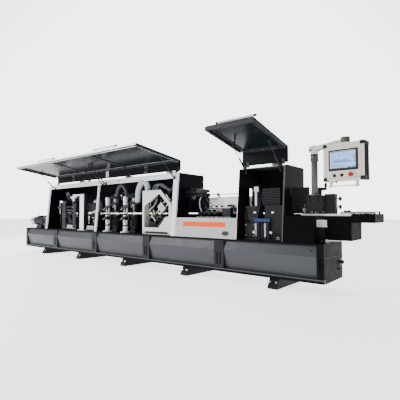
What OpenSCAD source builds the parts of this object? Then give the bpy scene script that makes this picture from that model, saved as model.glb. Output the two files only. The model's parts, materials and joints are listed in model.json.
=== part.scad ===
// Straight-line edge banding machine: a long base with a chain conveyor, a height-adjustable
// pressure beam, a row of processing units under two hoods with lift-up lids, and an operator
// panel on a swivel arm at the infeed end.
// +X points to the infeed end, +Y to the rear, +Z up. The origin is on the floor at the centre
// of the foot pattern. Positions along X are measured from the middle of the base.

/* [Base] */
// Length of the base
base_l = 7500; // [7460:1:7600]
// Depth of the base over its front and rear faces
base_d = 640; // [640:1:660]
// Height of the deck that carries the units
deck_z = 585; // [585:1:590]
// Distance between the skirt dividers
bay_pitch = 1520; // [1500:1:1530]
// How far the foot pattern sits to the infeed side of the middle of the base
foot_offset = 150; // [100:1:200]
// Distance between neighbouring cross feet
foot_pitch = 1480; // [1450:1:1500]
// Width of a cross foot
foot_w = 135; // [110:1:150]

/* [Main hood] */
// Outfeed side of the main hood
main_x0 = -2740; // [-2760:1:-2720]
// Infeed side of the main hood
main_x1 = 1424; // [1420:1:1440]
// Outfeed edge of the main lid
main_lid_x0 = -2450; // [-2600:1:-2440]
// Length of the main lid's front panel
main_lid_l = 920; // [900:1:930]
// Rise of the open main lid towards its front edge, in degrees
main_lid_tilt = 8.3; // [8:0.1:8.6]

/* [Small hood] */
// Outfeed side of the small hood
small_x0 = 2573; // [2570:1:2580]
// Infeed side of the small hood
small_x1 = 3246; // [3240:1:3250]
// Length of the small lid's front panel
small_lid_l = 858; // [850:1:865]
// Rise of the open small lid towards its front edge, in degrees
small_lid_tilt = 12.6; // [12.4:0.1:12.8]

/* [Feed] */
// Height of the chain's top run, which is the working height
work_z = 930; // [930:1:932]
// Thickness of the panel that the pressure belt is set for
panel_t = 20.5; // [19:0.5:21]
// Depth position of the finished panel edge
edge_y = 40; // [40:1:42]

/* [Operator panel] */
// Width of the operator panel
hmi_w = 430; // [420:1:440]
// Height of the operator panel
hmi_h = 400; // [390:1:410]
// Turn of the operator panel towards the operator, in degrees
hmi_turn = -4.9; // [-10:0.1:0]

/* [Fits] */
// Radial clearance of a running fit
run_fit = 0.05; // [0.02:0.01:0.09]
// Gap between welded or bolted neighbours
joint_gap = 0.5; // [0.3:0.1:1]

/* [Hidden] */
$fn = 48;
bc = -foot_offset;
base_x = [-base_l / 2, base_l / 2];
front_y = -base_d / 2;
deck_t = 20;
foot_h = 130;
feet_x = [for (i = [-2:2]) foot_offset + i * foot_pitch];
divider_w = 165;
end_post_w = 85;
dividers_x = [for (i = [-1.5:1.5]) i * bay_pitch];
sill_z = [165, 181];
skirt_top = deck_z - deck_t;
panel_back = front_y + 56;
rail_y = front_y + 60;
wall_t = 8;
post_t = 30;
hood_lean = 85;
main_top = 1588;
main_rear = 400;
main_pin = [-200, 1612];
main_lid_corner = [-177, 1790];
main_strut_pin = [-270, 1492];
main_strut_eye = [-595, 1797];
main_struts_x = [-2425, -560, -466, 1375];
main_hinges_x = [-2380, -1110, 160, 1390];
small_top = 1555;
small_rear = 345;
small_pin = [-155, 1575];
small_lid_corner = [-132, 1796];
small_strut_pin = [-235, 1480];
small_strut_eye = [-555, 1795];
small_struts_x = [2690, 3196];
small_hinges_x = [2660, 3190];
lid_t = 20;
pin_r = 5;
sprocket_r = 80;
chain_t = 20;
chain_y = [90, 210];
sprocket_z = work_z - chain_t - sprocket_r;
sprockets_x = [-2840, 3420];
bed_x = [-2900, 3480];
bed_y = [60, 240];
axle_r = 20;
pulley_r = 55;
belt_t = 10;
belt_y = [100, 200];
belt_z = work_z + panel_t;
pulley_z = belt_z + belt_t + pulley_r;
pulleys_x = [-2590, 3330];
beam_x = [-2660, 3400];
beam_y = [80, 220];
beam_z = [975, 1185];
pulley_axle_r = 12;
columns_x = [-2655, 2500, 3590];
column_y = 10;
column_r = 25;
wheel_r = 88;
post_at = [3578, -120];
hub_at = [4015, -365];
hmi_z = 1285;
hmi_d = 140;
buttons_x = [-95, -15, 85];
button_z = hmi_z + 55;
spindle_y = 4;
cross_shaft_z = 1228;
mill_y = edge_y - 63;
mill_r = 62.5;
mills_x = [3150, 3000];
mill_z = [900, 965];
glue_at = [2740, edge_y - 35];
glue_tank_x = 2795;
press_at = [2330, edge_y - 76];
presses_x = [2150, 2050, 1950, 1850];
trim_rise = 45;
saw_at = [1030, -55, 1090];
guide_y = -190;
guide_gap = 90;
guide_y_reach = -57.5;
frame_x = [600, 1290];
frame_top = 1325;
trims_x = [75, -467];
trim_low = [892, 922];
trim_high = [958, 988];
trim_column_y = -215;
trim_column_r = 42;
trim_column_top = 1245;
corner_x = -1314;
corner_motor_x = -1010;
buff_x = -2050;
buff_r = 70;
buff_y = edge_y - buff_r - 1;
buff_low = [880, 915];
buff_high = [965, 1000];
scraper_x = -1640;

// ---- helpers: spans are [low, high], x is measured from the middle of the base ----

function around(c, w) = [c - w / 2, c + w / 2];
function hood_front(z, top) = front_y + hood_lean * (z - deck_z) / (top - deck_z);
function turn_of(a, b) = atan2(b[1] - a[1], b[0] - a[0]);

module block(x, y, z) {
    translate([bc + x[0], y[0], z[0]]) cube([x[1] - x[0], y[1] - y[0], z[1] - z[0]]);
}

module prism_x(x, outline) {
    translate([bc + x[0], 0, 0]) rotate([90, 0, 90]) linear_extrude(height = x[1] - x[0]) polygon(outline);
}

module prism_y(y, outline) {
    translate([bc, y[1], 0]) rotate([90, 0, 0]) linear_extrude(height = y[1] - y[0]) polygon(outline);
}

module bar_x(x, y, z, r) {
    translate([bc + x[0], y, z]) rotate([0, 90, 0]) cylinder(h = x[1] - x[0], r = r);
}

module bar_y(x, y, z, r) {
    translate([bc + x, y[1], z]) rotate([90, 0, 0]) cylinder(h = y[1] - y[0], r = r);
}

module bar_z(x, y, z, r) {
    translate([bc + x, y, z[0]]) cylinder(h = z[1] - z[0], r = r);
}

// ---- base ----

module base_frame() {
    color("#1d2024") {
        block(base_x, around(0, base_d), [skirt_top, deck_z]);
        for (side = [-1, 1]) {
            rail = side < 0 ? [rail_y, rail_y + 60] : [-rail_y - 60, -rail_y];
            for (z = [[foot_h, foot_h + 60], [skirt_top - 60, skirt_top - joint_gap]])
                block([base_x[0] + 90, base_x[1] - 90], rail, z);
            for (x = concat(dividers_x, [base_x[0] + 120, base_x[1] - 120]))
                block(around(x, 60), rail, [foot_h + 60 + joint_gap, skirt_top - 60 - joint_gap]);
        }
        for (x = concat(dividers_x, [base_x[0] + 120, base_x[1] - 120]))
            for (z = [[foot_h, foot_h + 60], [skirt_top - 60, skirt_top - joint_gap]])
                block(around(x, 60), [rail_y + 60 + joint_gap, -rail_y - 60 - joint_gap], z);
        // front kick rail under the skirt
        block([base_x[0] + 11, base_x[1] - 11], [front_y + 12, rail_y - joint_gap],
            [foot_h, sill_z[0] - joint_gap]);
    }
}

module cross_feet() {
    color("#0c0d0f") for (x = feet_x) {
        difference() {
            prism_x(around(x, foot_w), [
                [front_y - 12, 0], [-front_y + 12, 0], [-front_y + 12, 24],
                [-front_y - 52, foot_h], [front_y + 52, foot_h], [front_y - 12, 24]
            ]);
            for (side = [-1, 1]) bar_z(x, side * 300, [-1, foot_h], 9);
        }
    }
}

// Bolt heads of the foot plates, square to each slanted foot end
module foot_bolts() {
    slope = atan2(foot_h - 24, 64);
    color("#3a3d42") for (x = feet_x) for (side = [-1, 1]) for (dx = [-42, 42])
        translate([bc + x + dx, side * (-front_y - 20), 77])
            rotate([-side * slope, 0, 0])
                translate([0, 0, 0.3]) cylinder(h = 14, r = 13, $fn = 6);
}

function bay_x(i) = [
    (i == 0 ? base_x[0] + end_post_w : dividers_x[i - 1] + divider_w / 2) + 4,
    (i == 4 ? base_x[1] - end_post_w : dividers_x[i] - divider_w / 2) - 4
];

module skirt_panels() {
    color("#5d6470") for (i = [0:4]) {
        prism_x(bay_x(i), [
            [front_y + 37, skirt_top - 5], [front_y + 2, 433], [front_y + 52, sill_z[1] + joint_gap],
            [panel_back, sill_z[1] + joint_gap], [panel_back, skirt_top - 5]
        ]);
        block(bay_x(i), [-panel_back, -panel_back + 12], [foot_h + 10, skirt_top - 5]);
    }
}

module grip_slot(x, z) {
    block(around(x, 20), [front_y - 1, front_y + 12], z);
}

module skirt_posts() {
    color("#3c424d") {
        for (x = dividers_x) {
            difference() {
                block(around(x, divider_w), [front_y, panel_back], [sill_z[1], skirt_top - joint_gap]);
                for (dx = [-26, 26]) grip_slot(x + dx, [235, 395]);
            }
            block(around(x, divider_w), [-panel_back, -front_y], [foot_h, skirt_top - joint_gap]);
        }
        for (side = [-1, 1]) {
            post = side < 0 ? [base_x[0], base_x[0] + end_post_w] : [base_x[1] - end_post_w, base_x[1]];
            plate = side < 0 ? [base_x[0], base_x[0] + 10] : [base_x[1] - 10, base_x[1]];
            difference() {
                block(post, [front_y, panel_back], [sill_z[1], skirt_top - joint_gap]);
                grip_slot((post[0] + post[1]) / 2, [300, 430]);
            }
            block(post, [-panel_back, -front_y], [foot_h, skirt_top - joint_gap]);
            block(plate, [panel_back + joint_gap, -panel_back - joint_gap], [foot_h, skirt_top - joint_gap]);
        }
        block(base_x, [front_y - 2, panel_back], [sill_z[0], sill_z[1] - joint_gap]);
    }
}

// ---- hoods ----

module hood_wall(x, top, rear, gap_z, front_back) {
    prism_x(x, [
        [front_y + front_back, deck_z], [front_y + hood_lean + front_back, top], [rear, top],
        [rear, gap_z], [20, gap_z], [20, deck_z]
    ]);
}

module main_hood_walls() {
    color("#15181f") {
        for (x = [[main_x0, main_x0 + wall_t], [main_x1 - wall_t, main_x1]])
            hood_wall(x, main_top - 2, main_rear, 1236, post_t + joint_gap);
        inner = [main_x0 + wall_t + joint_gap, main_x1 - wall_t - joint_gap];
        block(inner, [main_rear - 8, main_rear], [1060, main_top - 2]);
        block(inner, [-195, main_rear - 8 - joint_gap], [main_top - 10, main_top - 2]);
    }
}

module front_post(x) {
    foot = deck_z;
    head = 1500 - joint_gap;
    prism_x(x, [
        [hood_front(foot, main_top), foot], [hood_front(head, main_top), head],
        [hood_front(head, main_top) + post_t, head], [hood_front(foot, main_top) + post_t, foot]
    ]);
}

module main_hood_posts() {
    color("#dfe1e3") {
        front_post([main_x0 - 10, main_x0 + 38]);
        front_post(around(-740, 46));
        front_post([main_x1 - 96, main_x1]);
        difference() {
            prism_x([main_x0 - 10, main_x1], [
                [hood_front(1500, main_top), 1500], [hood_front(main_top, main_top), main_top],
                [hood_front(main_top, main_top) + post_t, main_top], [hood_front(1500, main_top) + post_t, 1500]
            ]);
            for (x = [-2200, -100]) hull() for (dx = [-32, 32]) bar_y(x + dx, [-260, -190], 1545, 11);
        }
    }
}

module small_hood_walls() {
    inner = [small_x0 + wall_t + joint_gap, small_x1 - wall_t - joint_gap];
    color("#2b2a2b") {
        for (x = [[small_x0, small_x0 + wall_t], [small_x1 - wall_t, small_x1]])
            prism_x(x, [
                [front_y, deck_z], [-235, small_top - 20], [-155, small_top], [small_rear, small_top],
                [small_rear, 1290], [20, 1290], [20, deck_z]
            ]);
        block(inner, [small_rear - 6, small_rear], [1290, small_top]);
        block(inner, [-154, small_rear - 6 - joint_gap], [small_top - 6, small_top]);
        prism_x(inner, [
            [-235, small_top - 20], [-155, small_top], [-155, small_top - 6], [-234, small_top - 26]
        ]);
    }
}

// Fixed half of a lid hinge: a lug on the hood with the pin through it
module hinge_pin(x, pin, floor_z) {
    bar_x([x - 60, x - 24], pin[0], pin[1], 11);
    block([x - 60, x - 24], [pin[0] - 11, pin[0] + 11], [floor_z, pin[1]]);
    block([x - 60, x - 24], [pin[0] - 33, pin[0] + 11], [floor_z, floor_z + 7]);
    bar_x([x - 60, x + 24], pin[0], pin[1], pin_r);
}

// Fixed strut pivot on the front face of the main hood's top beam
module main_strut_pivot(x) {
    prism_x([x - 16, x - 8], [
        [hood_front(1504, main_top) - 0.2, 1504], [hood_front(1560, main_top) - 0.2, 1560],
        [-262, 1520], [-283, 1500], [-283, 1482], [-258, 1480]
    ]);
    bar_x([x - 16, x + 8], main_strut_pin[0], main_strut_pin[1], pin_r);
}

// Fixed strut pivot hanging from the small hood's front strip
module small_strut_pivot(x) {
    prism_x([x - 16, x - 8], [
        [-228, small_top - 26], [-190, small_top - 16], [-215, 1468], [-246, 1468]
    ]);
    bar_x([x - 16, x + 8], small_strut_pin[0], small_strut_pin[1], pin_r);
}

module hood_hinge_pins() {
    color("#4a4d52") {
        for (x = main_hinges_x) hinge_pin(x, main_pin, main_top);
        for (x = small_hinges_x) hinge_pin(x, small_pin, small_top);
        for (x = main_struts_x) main_strut_pivot(x);
        for (x = small_struts_x) small_strut_pivot(x);
    }
}

module middle_cover() {
    cover = [main_x1 + joint_gap, small_x0 - joint_gap];
    color("#b9bbbd") prism_x(cover, [
        [front_y, deck_z], [front_y + 24, 872], [front_y + 84, 872],
        [front_y + 84, 866], [front_y + 30, 866], [front_y + 6, deck_z]
    ]);
}

// ---- lids: children are drawn with y = 0 at the rear edge, z = 0 on the outer face ----

module on_lid(corner, tilt) {
    translate([bc, corner[0], corner[1]]) rotate([-tilt, 0, 0]) children();
}

module lid_box(x, y, z) {
    translate([x[0], y[0], z[0]]) cube([x[1] - x[0], y[1] - y[0], z[1] - z[0]]);
}

function window_x(x, count, i) = let (w = (x[1] - x[0] - 120 - (count - 1) * 40) / count)
    [x[0] + 60 + i * (w + 40), x[0] + 60 + i * (w + 40) + w];

// Rear strip of a lid: it drops from the corner to the hinge and meets the rear rail
function rear_strip(corner, tilt, bottom) = let (inner = lid_t * (1 - sin(tilt)) / cos(tilt)) [
    corner,
    [corner[0] - lid_t * sin(tilt) - inner * cos(tilt), corner[1] - lid_t * cos(tilt) + inner * sin(tilt)],
    [corner[0] - lid_t, bottom], [corner[0], bottom]
];

// Lid frame: rear strip, front and rear rails, and the cross rails beside the windows
module lid_shell(x, length, corner, tilt, pin, count) {
    prism_x(x, rear_strip(corner, tilt, pin[1] + 14));
    on_lid(corner, tilt) {
        lid_box(x, [-length, -length + 70], [-lid_t, 0]);
        lid_box(x, [-90, -lid_t * (1 - sin(tilt)) / cos(tilt) - joint_gap], [-lid_t, 0]);
        for (i = [0:count]) lid_box([
            i == 0 ? x[0] : window_x(x, count, i - 1)[1],
            i == count ? x[1] : window_x(x, count, i)[0]
        ], [-length + 70 + joint_gap, -90 - joint_gap], [-lid_t, 0]);
    }
}

module lid_windows(x, length, corner, tilt, count) {
    on_lid(corner, tilt) for (i = [0:count - 1]) {
        w = window_x(x, count, i);
        lid_box([w[0] + joint_gap, w[1] - joint_gap],
            [-length + 70 + joint_gap, -90 - joint_gap], [-14, -6]);
    }
}

// Edge profile, end flanges, corner strip, hinge leaves and strut lugs of a lid
module lid_trim(x, length, corner, tilt, pin, hinges, eyes, eye) {
    on_lid(corner, tilt) {
        lid_box(x, [-length - 14, -length - joint_gap], [-52, 0]);
        for (flange = [[x[0], x[0] + 5], [x[1] - 5, x[1]]])
            lid_box(flange, [-length, -60], [-52, -lid_t - joint_gap]);
        lid_box([x[0] + 8, x[1] - 8], [-56, -34], [-lid_t - 6, -lid_t - joint_gap]);
    }
    for (h = hinges) difference() {
        union() {
            bar_x([h - 20, h + 20], pin[0], pin[1], 10);
            block([h - 20, h + 20], [pin[0] - 3, pin[0] + 2.8], [pin[1], pin[1] + 68]);
        }
        bar_x([h - 21, h + 21], pin[0], pin[1], pin_r + run_fit);
    }
    // each lug reaches down to the level of the rod eye, beside it
    along = norm([eye[0] - corner[0], eye[1] - corner[1]]);
    lean = turn_of(corner, eye) - 180 + tilt;
    for (s = eyes) on_lid(corner, tilt)
        lid_box([s + 9, s + 17], [-along * cos(lean) - 15, -along * cos(lean) + 15],
            [-along * sin(lean) - 12, -lid_t - joint_gap]);
}

// Bail handle: a tube on two stand-offs, with end caps
module lid_handle(x, length, corner, tilt, size) {
    on_lid(corner, tilt) translate([x, -length + 40, 46]) {
        rotate([0, 90, 0]) cylinder(h = size, r = 13, center = true);
        for (side = [-1, 1]) {
            translate([side * (size / 2 - 40), 0, -46]) cylinder(h = 46, r = 9);
            translate([side * (size / 2 + 12.5), 0, 0]) rotate([0, 90, 0])
                cylinder(h = 24, r = 14.5, center = true);
        }
    }
}

module main_lid_shell() {
    color("#e6e7e8")
        lid_shell([main_lid_x0, main_x1], main_lid_l, main_lid_corner, main_lid_tilt, main_pin, 3);
}

module main_lid_windows() {
    color("#232733")
        lid_windows([main_lid_x0, main_x1], main_lid_l, main_lid_corner, main_lid_tilt, 3);
}

module main_lid_trim() {
    color("#c9ccd0") lid_trim([main_lid_x0, main_x1], main_lid_l, main_lid_corner, main_lid_tilt,
        main_pin, main_hinges_x, main_struts_x, main_strut_eye);
}

module main_lid_handles() {
    color("#e9eaeb") for (x = [-1290, 604])
        lid_handle(x, main_lid_l, main_lid_corner, main_lid_tilt, 540);
}

module small_lid_shell() {
    color("#d9dadb")
        lid_shell([small_x0, small_x1], small_lid_l, small_lid_corner, small_lid_tilt, small_pin, 1);
}

module small_lid_window() {
    color("#232733")
        lid_windows([small_x0, small_x1], small_lid_l, small_lid_corner, small_lid_tilt, 1);
}

module small_lid_trim() {
    color("#c9ccd0") lid_trim([small_x0, small_x1], small_lid_l, small_lid_corner, small_lid_tilt,
        small_pin, small_hinges_x, small_struts_x, small_strut_eye);
}

module small_lid_handle() {
    color("#e9eaeb") lid_handle((small_x0 + small_x1) / 2 + 58, small_lid_l, small_lid_corner,
        small_lid_tilt, 500);
}

// ---- gas struts: drawn along +X from the fixed pivot, then turned to the lid pivot ----

module along_strut(x, from, to) {
    translate([bc + x, from[0], from[1]]) rotate([turn_of(from, to), 0, 0]) children();
}

module strut_cylinder(x, from, to, length) {
    along_strut(x, from, to) difference() {
        union() {
            rotate([0, 90, 0]) cylinder(h = 12, r = 12, center = true);
            rotate([-90, 0, 0]) cylinder(h = length, r = 5);
            translate([0, 25, 0]) rotate([-90, 0, 0]) cylinder(h = length - 25, r = 11);
        }
        rotate([0, 90, 0]) cylinder(h = 14, r = pin_r + run_fit, center = true);
        translate([0, 32, 0]) rotate([-90, 0, 0]) cylinder(h = length, r = 5.3);
    }
}

module strut_rod(x, from, to, length) {
    reach = norm([to[0] - from[0], to[1] - from[1]]);
    along_strut(x, from, to) difference() {
        union() {
            translate([0, reach - length, 0]) rotate([-90, 0, 0]) cylinder(h = length, r = 5);
            translate([0, reach, 0]) rotate([0, 90, 0]) cylinder(h = 12, r = 11, center = true);
        }
        translate([0, reach, 0]) rotate([0, 90, 0]) cylinder(h = 14, r = pin_r, center = true);
    }
}

module main_strut_cylinders() {
    color("#101114") for (x = main_struts_x) strut_cylinder(x, main_strut_pin, main_strut_eye, 235);
}

module main_strut_rods() {
    color("#b8bcc2") for (x = main_struts_x) strut_rod(x, main_strut_pin, main_strut_eye, 262);
}

module small_strut_cylinders() {
    color("#101114") for (x = small_struts_x) strut_cylinder(x, small_strut_pin, small_strut_eye, 250);
}

module small_strut_rods() {
    color("#b8bcc2") for (x = small_struts_x) strut_rod(x, small_strut_pin, small_strut_eye, 240);
}

// ---- feed ----

module conveyor_bed() {
    color("#1b1e23") {
        block(bed_x, bed_y, [deck_z, 720]);
        for (y = [[bed_y[0], bed_y[0] + 18], [bed_y[1] - 18, bed_y[1]]]) difference() {
            block(bed_x, y, [720 + joint_gap, work_z - 6]);
            for (x = sprockets_x) bar_y(x, [y[0] - 1, y[1] + 1], sprocket_z, axle_r + run_fit);
        }
        block([sprockets_x[0] + 110, sprockets_x[1] - 110],
            [bed_y[0] + 18 + joint_gap, bed_y[1] - 18 - joint_gap],
            [760, work_z - chain_t - 0.4]);
    }
}

// Loop round two pulleys: two straight runs and two half rings
module loop(centres, z, r, thick, y) {
    for (side = [-1, 1]) block([centres[0] + joint_gap, centres[1] - joint_gap], y,
        side < 0 ? [z - r - thick, z - r] : [z + r, z + r + thick]);
    for (end = [0, 1]) translate([bc + centres[end], y[1], z]) rotate([90, 0, 0])
        linear_extrude(height = y[1] - y[0]) difference() {
            circle(r = r + thick, $fn = 96);
            circle(r = r, $fn = 96);
            translate([end == 0 ? 0 : -r - thick - 1, -r - thick - 1])
                square([r + thick + 1, 2 * (r + thick + 1)]);
        }
}

module feed_chain() {
    color("#2a2c30") loop(sprockets_x, sprocket_z, sprocket_r, chain_t, chain_y);
}

module sprocket(x, axle_y) {
    bar_y(x, [chain_y[0] + 5, chain_y[1] - 5], sprocket_z, sprocket_r - 0.35);
    bar_y(x, axle_y, sprocket_z, axle_r);
}

module feed_drive_sprocket() {
    color("#6c7076") sprocket(sprockets_x[0], [-290, bed_y[1] + 14]);
}

module feed_idler_sprocket() {
    color("#6c7076") sprocket(sprockets_x[1], [bed_y[0] - 8, bed_y[1] + 14]);
}

module feed_gearmotor() {
    motor_y = -200;
    motor_z = 762;
    color("#3b3f45") {
        difference() {
            block([-2945, -2752], [-275, -105], [660, 890]);
            bar_y(sprockets_x[0], [-276, -104], sprocket_z, axle_r + run_fit);
        }
        bar_x([-3420, -2945], motor_y, motor_z, 92);
        bar_x([-3560, -3420 - joint_gap], motor_y, motor_z, 98);
        block([-3320, -3060], [-270, -130], [deck_z, 664]);
        block([-2940, -2760], [-260, -120], [deck_z, 660 - joint_gap]);
    }
}

// ---- pressure beam ----

module pressure_beam() {
    color("#a9adb2") {
        difference() {
            block(beam_x, [beam_y[0], beam_y[0] + 10], beam_z);
            for (x = pulleys_x) bar_y(x, [beam_y[0] - 1, beam_y[0] + 11], pulley_z, pulley_axle_r + run_fit);
        }
        difference() {
            block(beam_x, [beam_y[1] - 10, beam_y[1]], beam_z);
            for (x = pulleys_x) bar_y(x, [beam_y[1] - 11, beam_y[1] + 1], pulley_z, pulley_axle_r + run_fit);
        }
        block(beam_x, [beam_y[0] + 10 + joint_gap, beam_y[1] - 10 - joint_gap], [1095, beam_z[1]]);
        block([pulleys_x[0] + 80, pulleys_x[1] - 80],
            [belt_y[0] - 4, belt_y[1] + 4], [belt_z + belt_t + 1.5, 1068]);
        for (x = columns_x) difference() {
            block(around(x, 110), [column_y - 55, beam_y[0] - joint_gap], [1050, 1120]);
            bar_z(x, column_y, [1049, 1121], column_r + run_fit);
        }
        // arm from the beam to the infeed column, and the cross shaft with its bearings
        block([beam_x[1] - 60, columns_x[2] - 55 - joint_gap],
            [beam_y[0] - 60, beam_y[0] - joint_gap], [1050, 1120]);
        bar_x([1440, 2560], 52, cross_shaft_z, 8);
        for (x = [1500, 2000, 2440])
            block(around(x, 30), [40, beam_y[0] - joint_gap], [1175, cross_shaft_z - 9]);
    }
}

module pressure_belt() {
    color("#17181a") loop(pulleys_x, pulley_z, pulley_r, belt_t, belt_y);
}

module belt_pulley(x) {
    bar_y(x, [belt_y[0] + 4, belt_y[1] - 4], pulley_z, pulley_r - 0.35);
    bar_y(x, [beam_y[0] - 12, beam_y[1] + 12], pulley_z, pulley_axle_r);
}

module belt_drive_pulley() {
    color("#7a7e84") belt_pulley(pulleys_x[0]);
}

module belt_idler_pulley() {
    color("#7a7e84") belt_pulley(pulleys_x[1]);
}

module lift_columns() {
    color("#c3c7cc") {
        for (i = [0, 1]) bar_z(columns_x[i], column_y, [deck_z, 1196], column_r);
        difference() {
            bar_z(columns_x[2], column_y, [work_z, 1196], column_r);
            bar_z(columns_x[2], column_y, [1060, 1200], 8 + run_fit);
        }
    }
}

module beam_handwheel() {
    color("#1a1b1d") translate([bc + columns_x[2], column_y, 0]) {
        translate([0, 0, 1234]) rotate_extrude($fn = 96) translate([wheel_r - 14, 0]) circle(r = 14);
        translate([0, 0, 1197]) cylinder(h = 50, r = 26);
        for (a = [0:120:240]) rotate([0, 0, a]) translate([20, -9, 1226]) cube([wheel_r - 34, 18, 14]);
        translate([0, 0, 1075]) cylinder(h = 130, r = 8);
        translate([wheel_r - 14, 0, 1240]) cylinder(h = 60, r = 11);
    }
}

// ---- infeed ----

module infeed_table() {
    color("#9ea1a4") {
        block([3400, 3990], [-120, bed_y[0] - 5], [905, work_z]);
        block([3535, 3990], [bed_y[0] - 5 + joint_gap, 400], [905, work_z]);
        block([3990 + joint_gap, 4236], [-118, 310], [829, work_z]);
        block([3640, 3990], [-115, 300], [620, 829 - joint_gap]);
        block([3640, 3990], [-115, 300], [829, 905 - joint_gap]);
        prism_x([3250, 3640 - joint_gap], [
            [front_y + 8, deck_z], [front_y + 34, 905 - joint_gap],
            [front_y + 40, 905 - joint_gap], [front_y + 14, deck_z]
        ]);
        block([3300, 3640 - joint_gap], [-110, 50], [deck_z, 905 - joint_gap]);
    }
}

// Bracket that carries the operator panel's post, and the tape guide block beside it
module infeed_bracket() {
    color("#3a3c40") {
        block([3490, 3682], [-162, -78], [1150 - 200, 1150]);
        block([3490, 3682], [-119, -60], [work_z, 950 - joint_gap]);
        block([3692, 3812], [-118, -20], [work_z, 1165]);
        for (z = [1010, 1105]) {
            bar_x([3812 + joint_gap, 3850], -70, z, 7);
            bar_x([3850, 3872], -70, z, 20);
        }
    }
}

module infeed_fence() {
    color("#c7cacd") {
        block([3830, 4212], [edge_y - 30, edge_y], [work_z + 1, work_z + 22]);
        block([3880, 3960], [-40, edge_y - 30 - joint_gap], [work_z + 1, work_z + 14]);
    }
}

module hmi_post() {
    color("#8b8985") {
        bar_z(post_at[0], post_at[1], [1150, 1648], 38);
        difference() {
            bar_z(post_at[0], post_at[1], [1565, 1645], 46);
            bar_z(post_at[0], post_at[1], [1564, 1646], 38 + joint_gap);
        }
        bar_z(post_at[0], post_at[1], [1648, 1700], 20);
    }
}

module hmi_arm() {
    reach = norm(hub_at - post_at);
    color("#e4e1da") translate([bc + post_at[0], post_at[1], 0])
        rotate([0, 0, turn_of(post_at, hub_at)]) difference() {
            union() {
                translate([0, 0, 1649]) cylinder(h = 91, r = 45);
                translate([0, -34, 1690]) cube([reach, 68, 48]);
                translate([reach, 0, 1690]) cylinder(h = 58, r = 37);
            }
            translate([0, 0, 1640]) cylinder(h = 61, r = 20 + run_fit);
            translate([reach, 0, 1680]) cylinder(h = 50, r = 16 + run_fit);
        }
}

module at_panel() {
    translate([bc + hub_at[0], hub_at[1], 0]) rotate([0, 0, hmi_turn]) children();
}

module hmi_housing() {
    color("#dcd6cb") at_panel() {
        difference() {
            translate([-hmi_w / 2, -hmi_d / 2, hmi_z]) cube([hmi_w, hmi_d, hmi_h]);
            for (x = buttons_x) translate([x, -hmi_d / 2 + 18, button_z]) rotate([90, 0, 0])
                cylinder(h = 20, r = 11.3);
        }
        translate([0, 0, hmi_z + hmi_h]) cylinder(h = 40, r = 16);
    }
}

module hmi_screen() {
    color("#9cc4e4") at_panel() translate([-150, -hmi_d / 2 - 3, hmi_z + 110]) cube([300, 3, 215]);
}

module hmi_handle() {
    color("#cfcdc8") at_panel() {
        for (side = [-1, 1])
            translate([side * 140 - 14, -hmi_d / 2 + 4, hmi_z - 71]) cube([28, 16, 71 - 0.2]);
        translate([0, -hmi_d / 2 + 12, hmi_z - 58]) rotate([0, 90, 0])
            cylinder(h = 252 - 0.6, r = 8, center = true);
    }
}

module push_button(x) {
    at_panel() translate([x, -hmi_d / 2 + 6, button_z]) rotate([90, 0, 0]) cylinder(h = 16, r = 11);
}

module start_button() {
    color("#141414") push_button(buttons_x[0]);
}

module stop_button() {
    color("#141414") push_button(buttons_x[1]);
}

module emergency_stop() {
    color("#b3202a") at_panel() translate([buttons_x[2], -hmi_d / 2 + 6, button_z]) rotate([90, 0, 0]) {
        cylinder(h = 20, r = 11);
        translate([0, 0, 18]) cylinder(h = 8, r1 = 17, r2 = 20);
        translate([0, 0, 26]) cylinder(h = 10, r = 20);
    }
}

module main_switch() {
    color("#111214") {
        bar_x([base_x[1] + 0.4, base_x[1] + 16], 255, 331, 22);
        bar_x([base_x[1] + 16, base_x[1] + 34], 255, 331, 15);
        block([base_x[1] + 16, base_x[1] + 40], [249, 261], [309, 353]);
    }
}

// ---- processing units ----

// Upright spindle motor: body, end bell and a bore for the spindle in the end at z[0] or z[1]
module spindle_motor(x, y, z, r, up) {
    mouth = up ? [z[1] - 60, z[1] + 1] : [z[0] - 1, z[0] + 60];
    difference() {
        union() {
            bar_z(x, y, z, r);
            block(around(x, 2 * r + 8), [y - r - 22, y - r + 10], [z[0] + 30, z[1] - 30]);
        }
        bar_z(x, y, mouth, 10 + run_fit);
    }
}

// Two cutters on one upright axis, each with a stub shaft into its own motor
module cutter_pair(x, y, r, low, high) {
    bar_z(x, y, low, r);
    bar_z(x, y, [low[0] - 60, low[0]], 10);
    bar_z(x, y, high, r);
    bar_z(x, y, [high[1], high[1] + 60], 10);
}

module motor_pair(x, y, r, low, high) {
    spindle_motor(x, y, [low[0] - 240, low[0] - 8], r, true);
    spindle_motor(x, y, [high[1] + 8, high[1] + 220], r, false);
}

module pre_mill_unit() {
    color("#70757c") {
        block([2930, 3225], [-240, 30], [deck_z, deck_z + 20]);
        for (x = mills_x) spindle_motor(x, mill_y, [deck_z + 20 + joint_gap, mill_z[0] - 8], 55, true);
        block([2940, 3220], [-200, -130], [deck_z + 20 + joint_gap, 1040]);
        block([2960, 3200], [-129, 20], [1000, 1030]);
        // housing over the spindles
        block([2900, 3150], [-170, 15], [1040 + joint_gap, 1265]);
    }
}

module pre_mill_cutter(x) {
    bar_z(x, mill_y, mill_z, mill_r);
    bar_z(x, mill_y, [mill_z[0] - 60, mill_z[0]], 10);
}

module pre_mill_cutter_infeed() {
    color("#9a9ea3") pre_mill_cutter(mills_x[0]);
}

module pre_mill_cutter_outfeed() {
    color("#9a9ea3") pre_mill_cutter(mills_x[1]);
}

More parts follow.
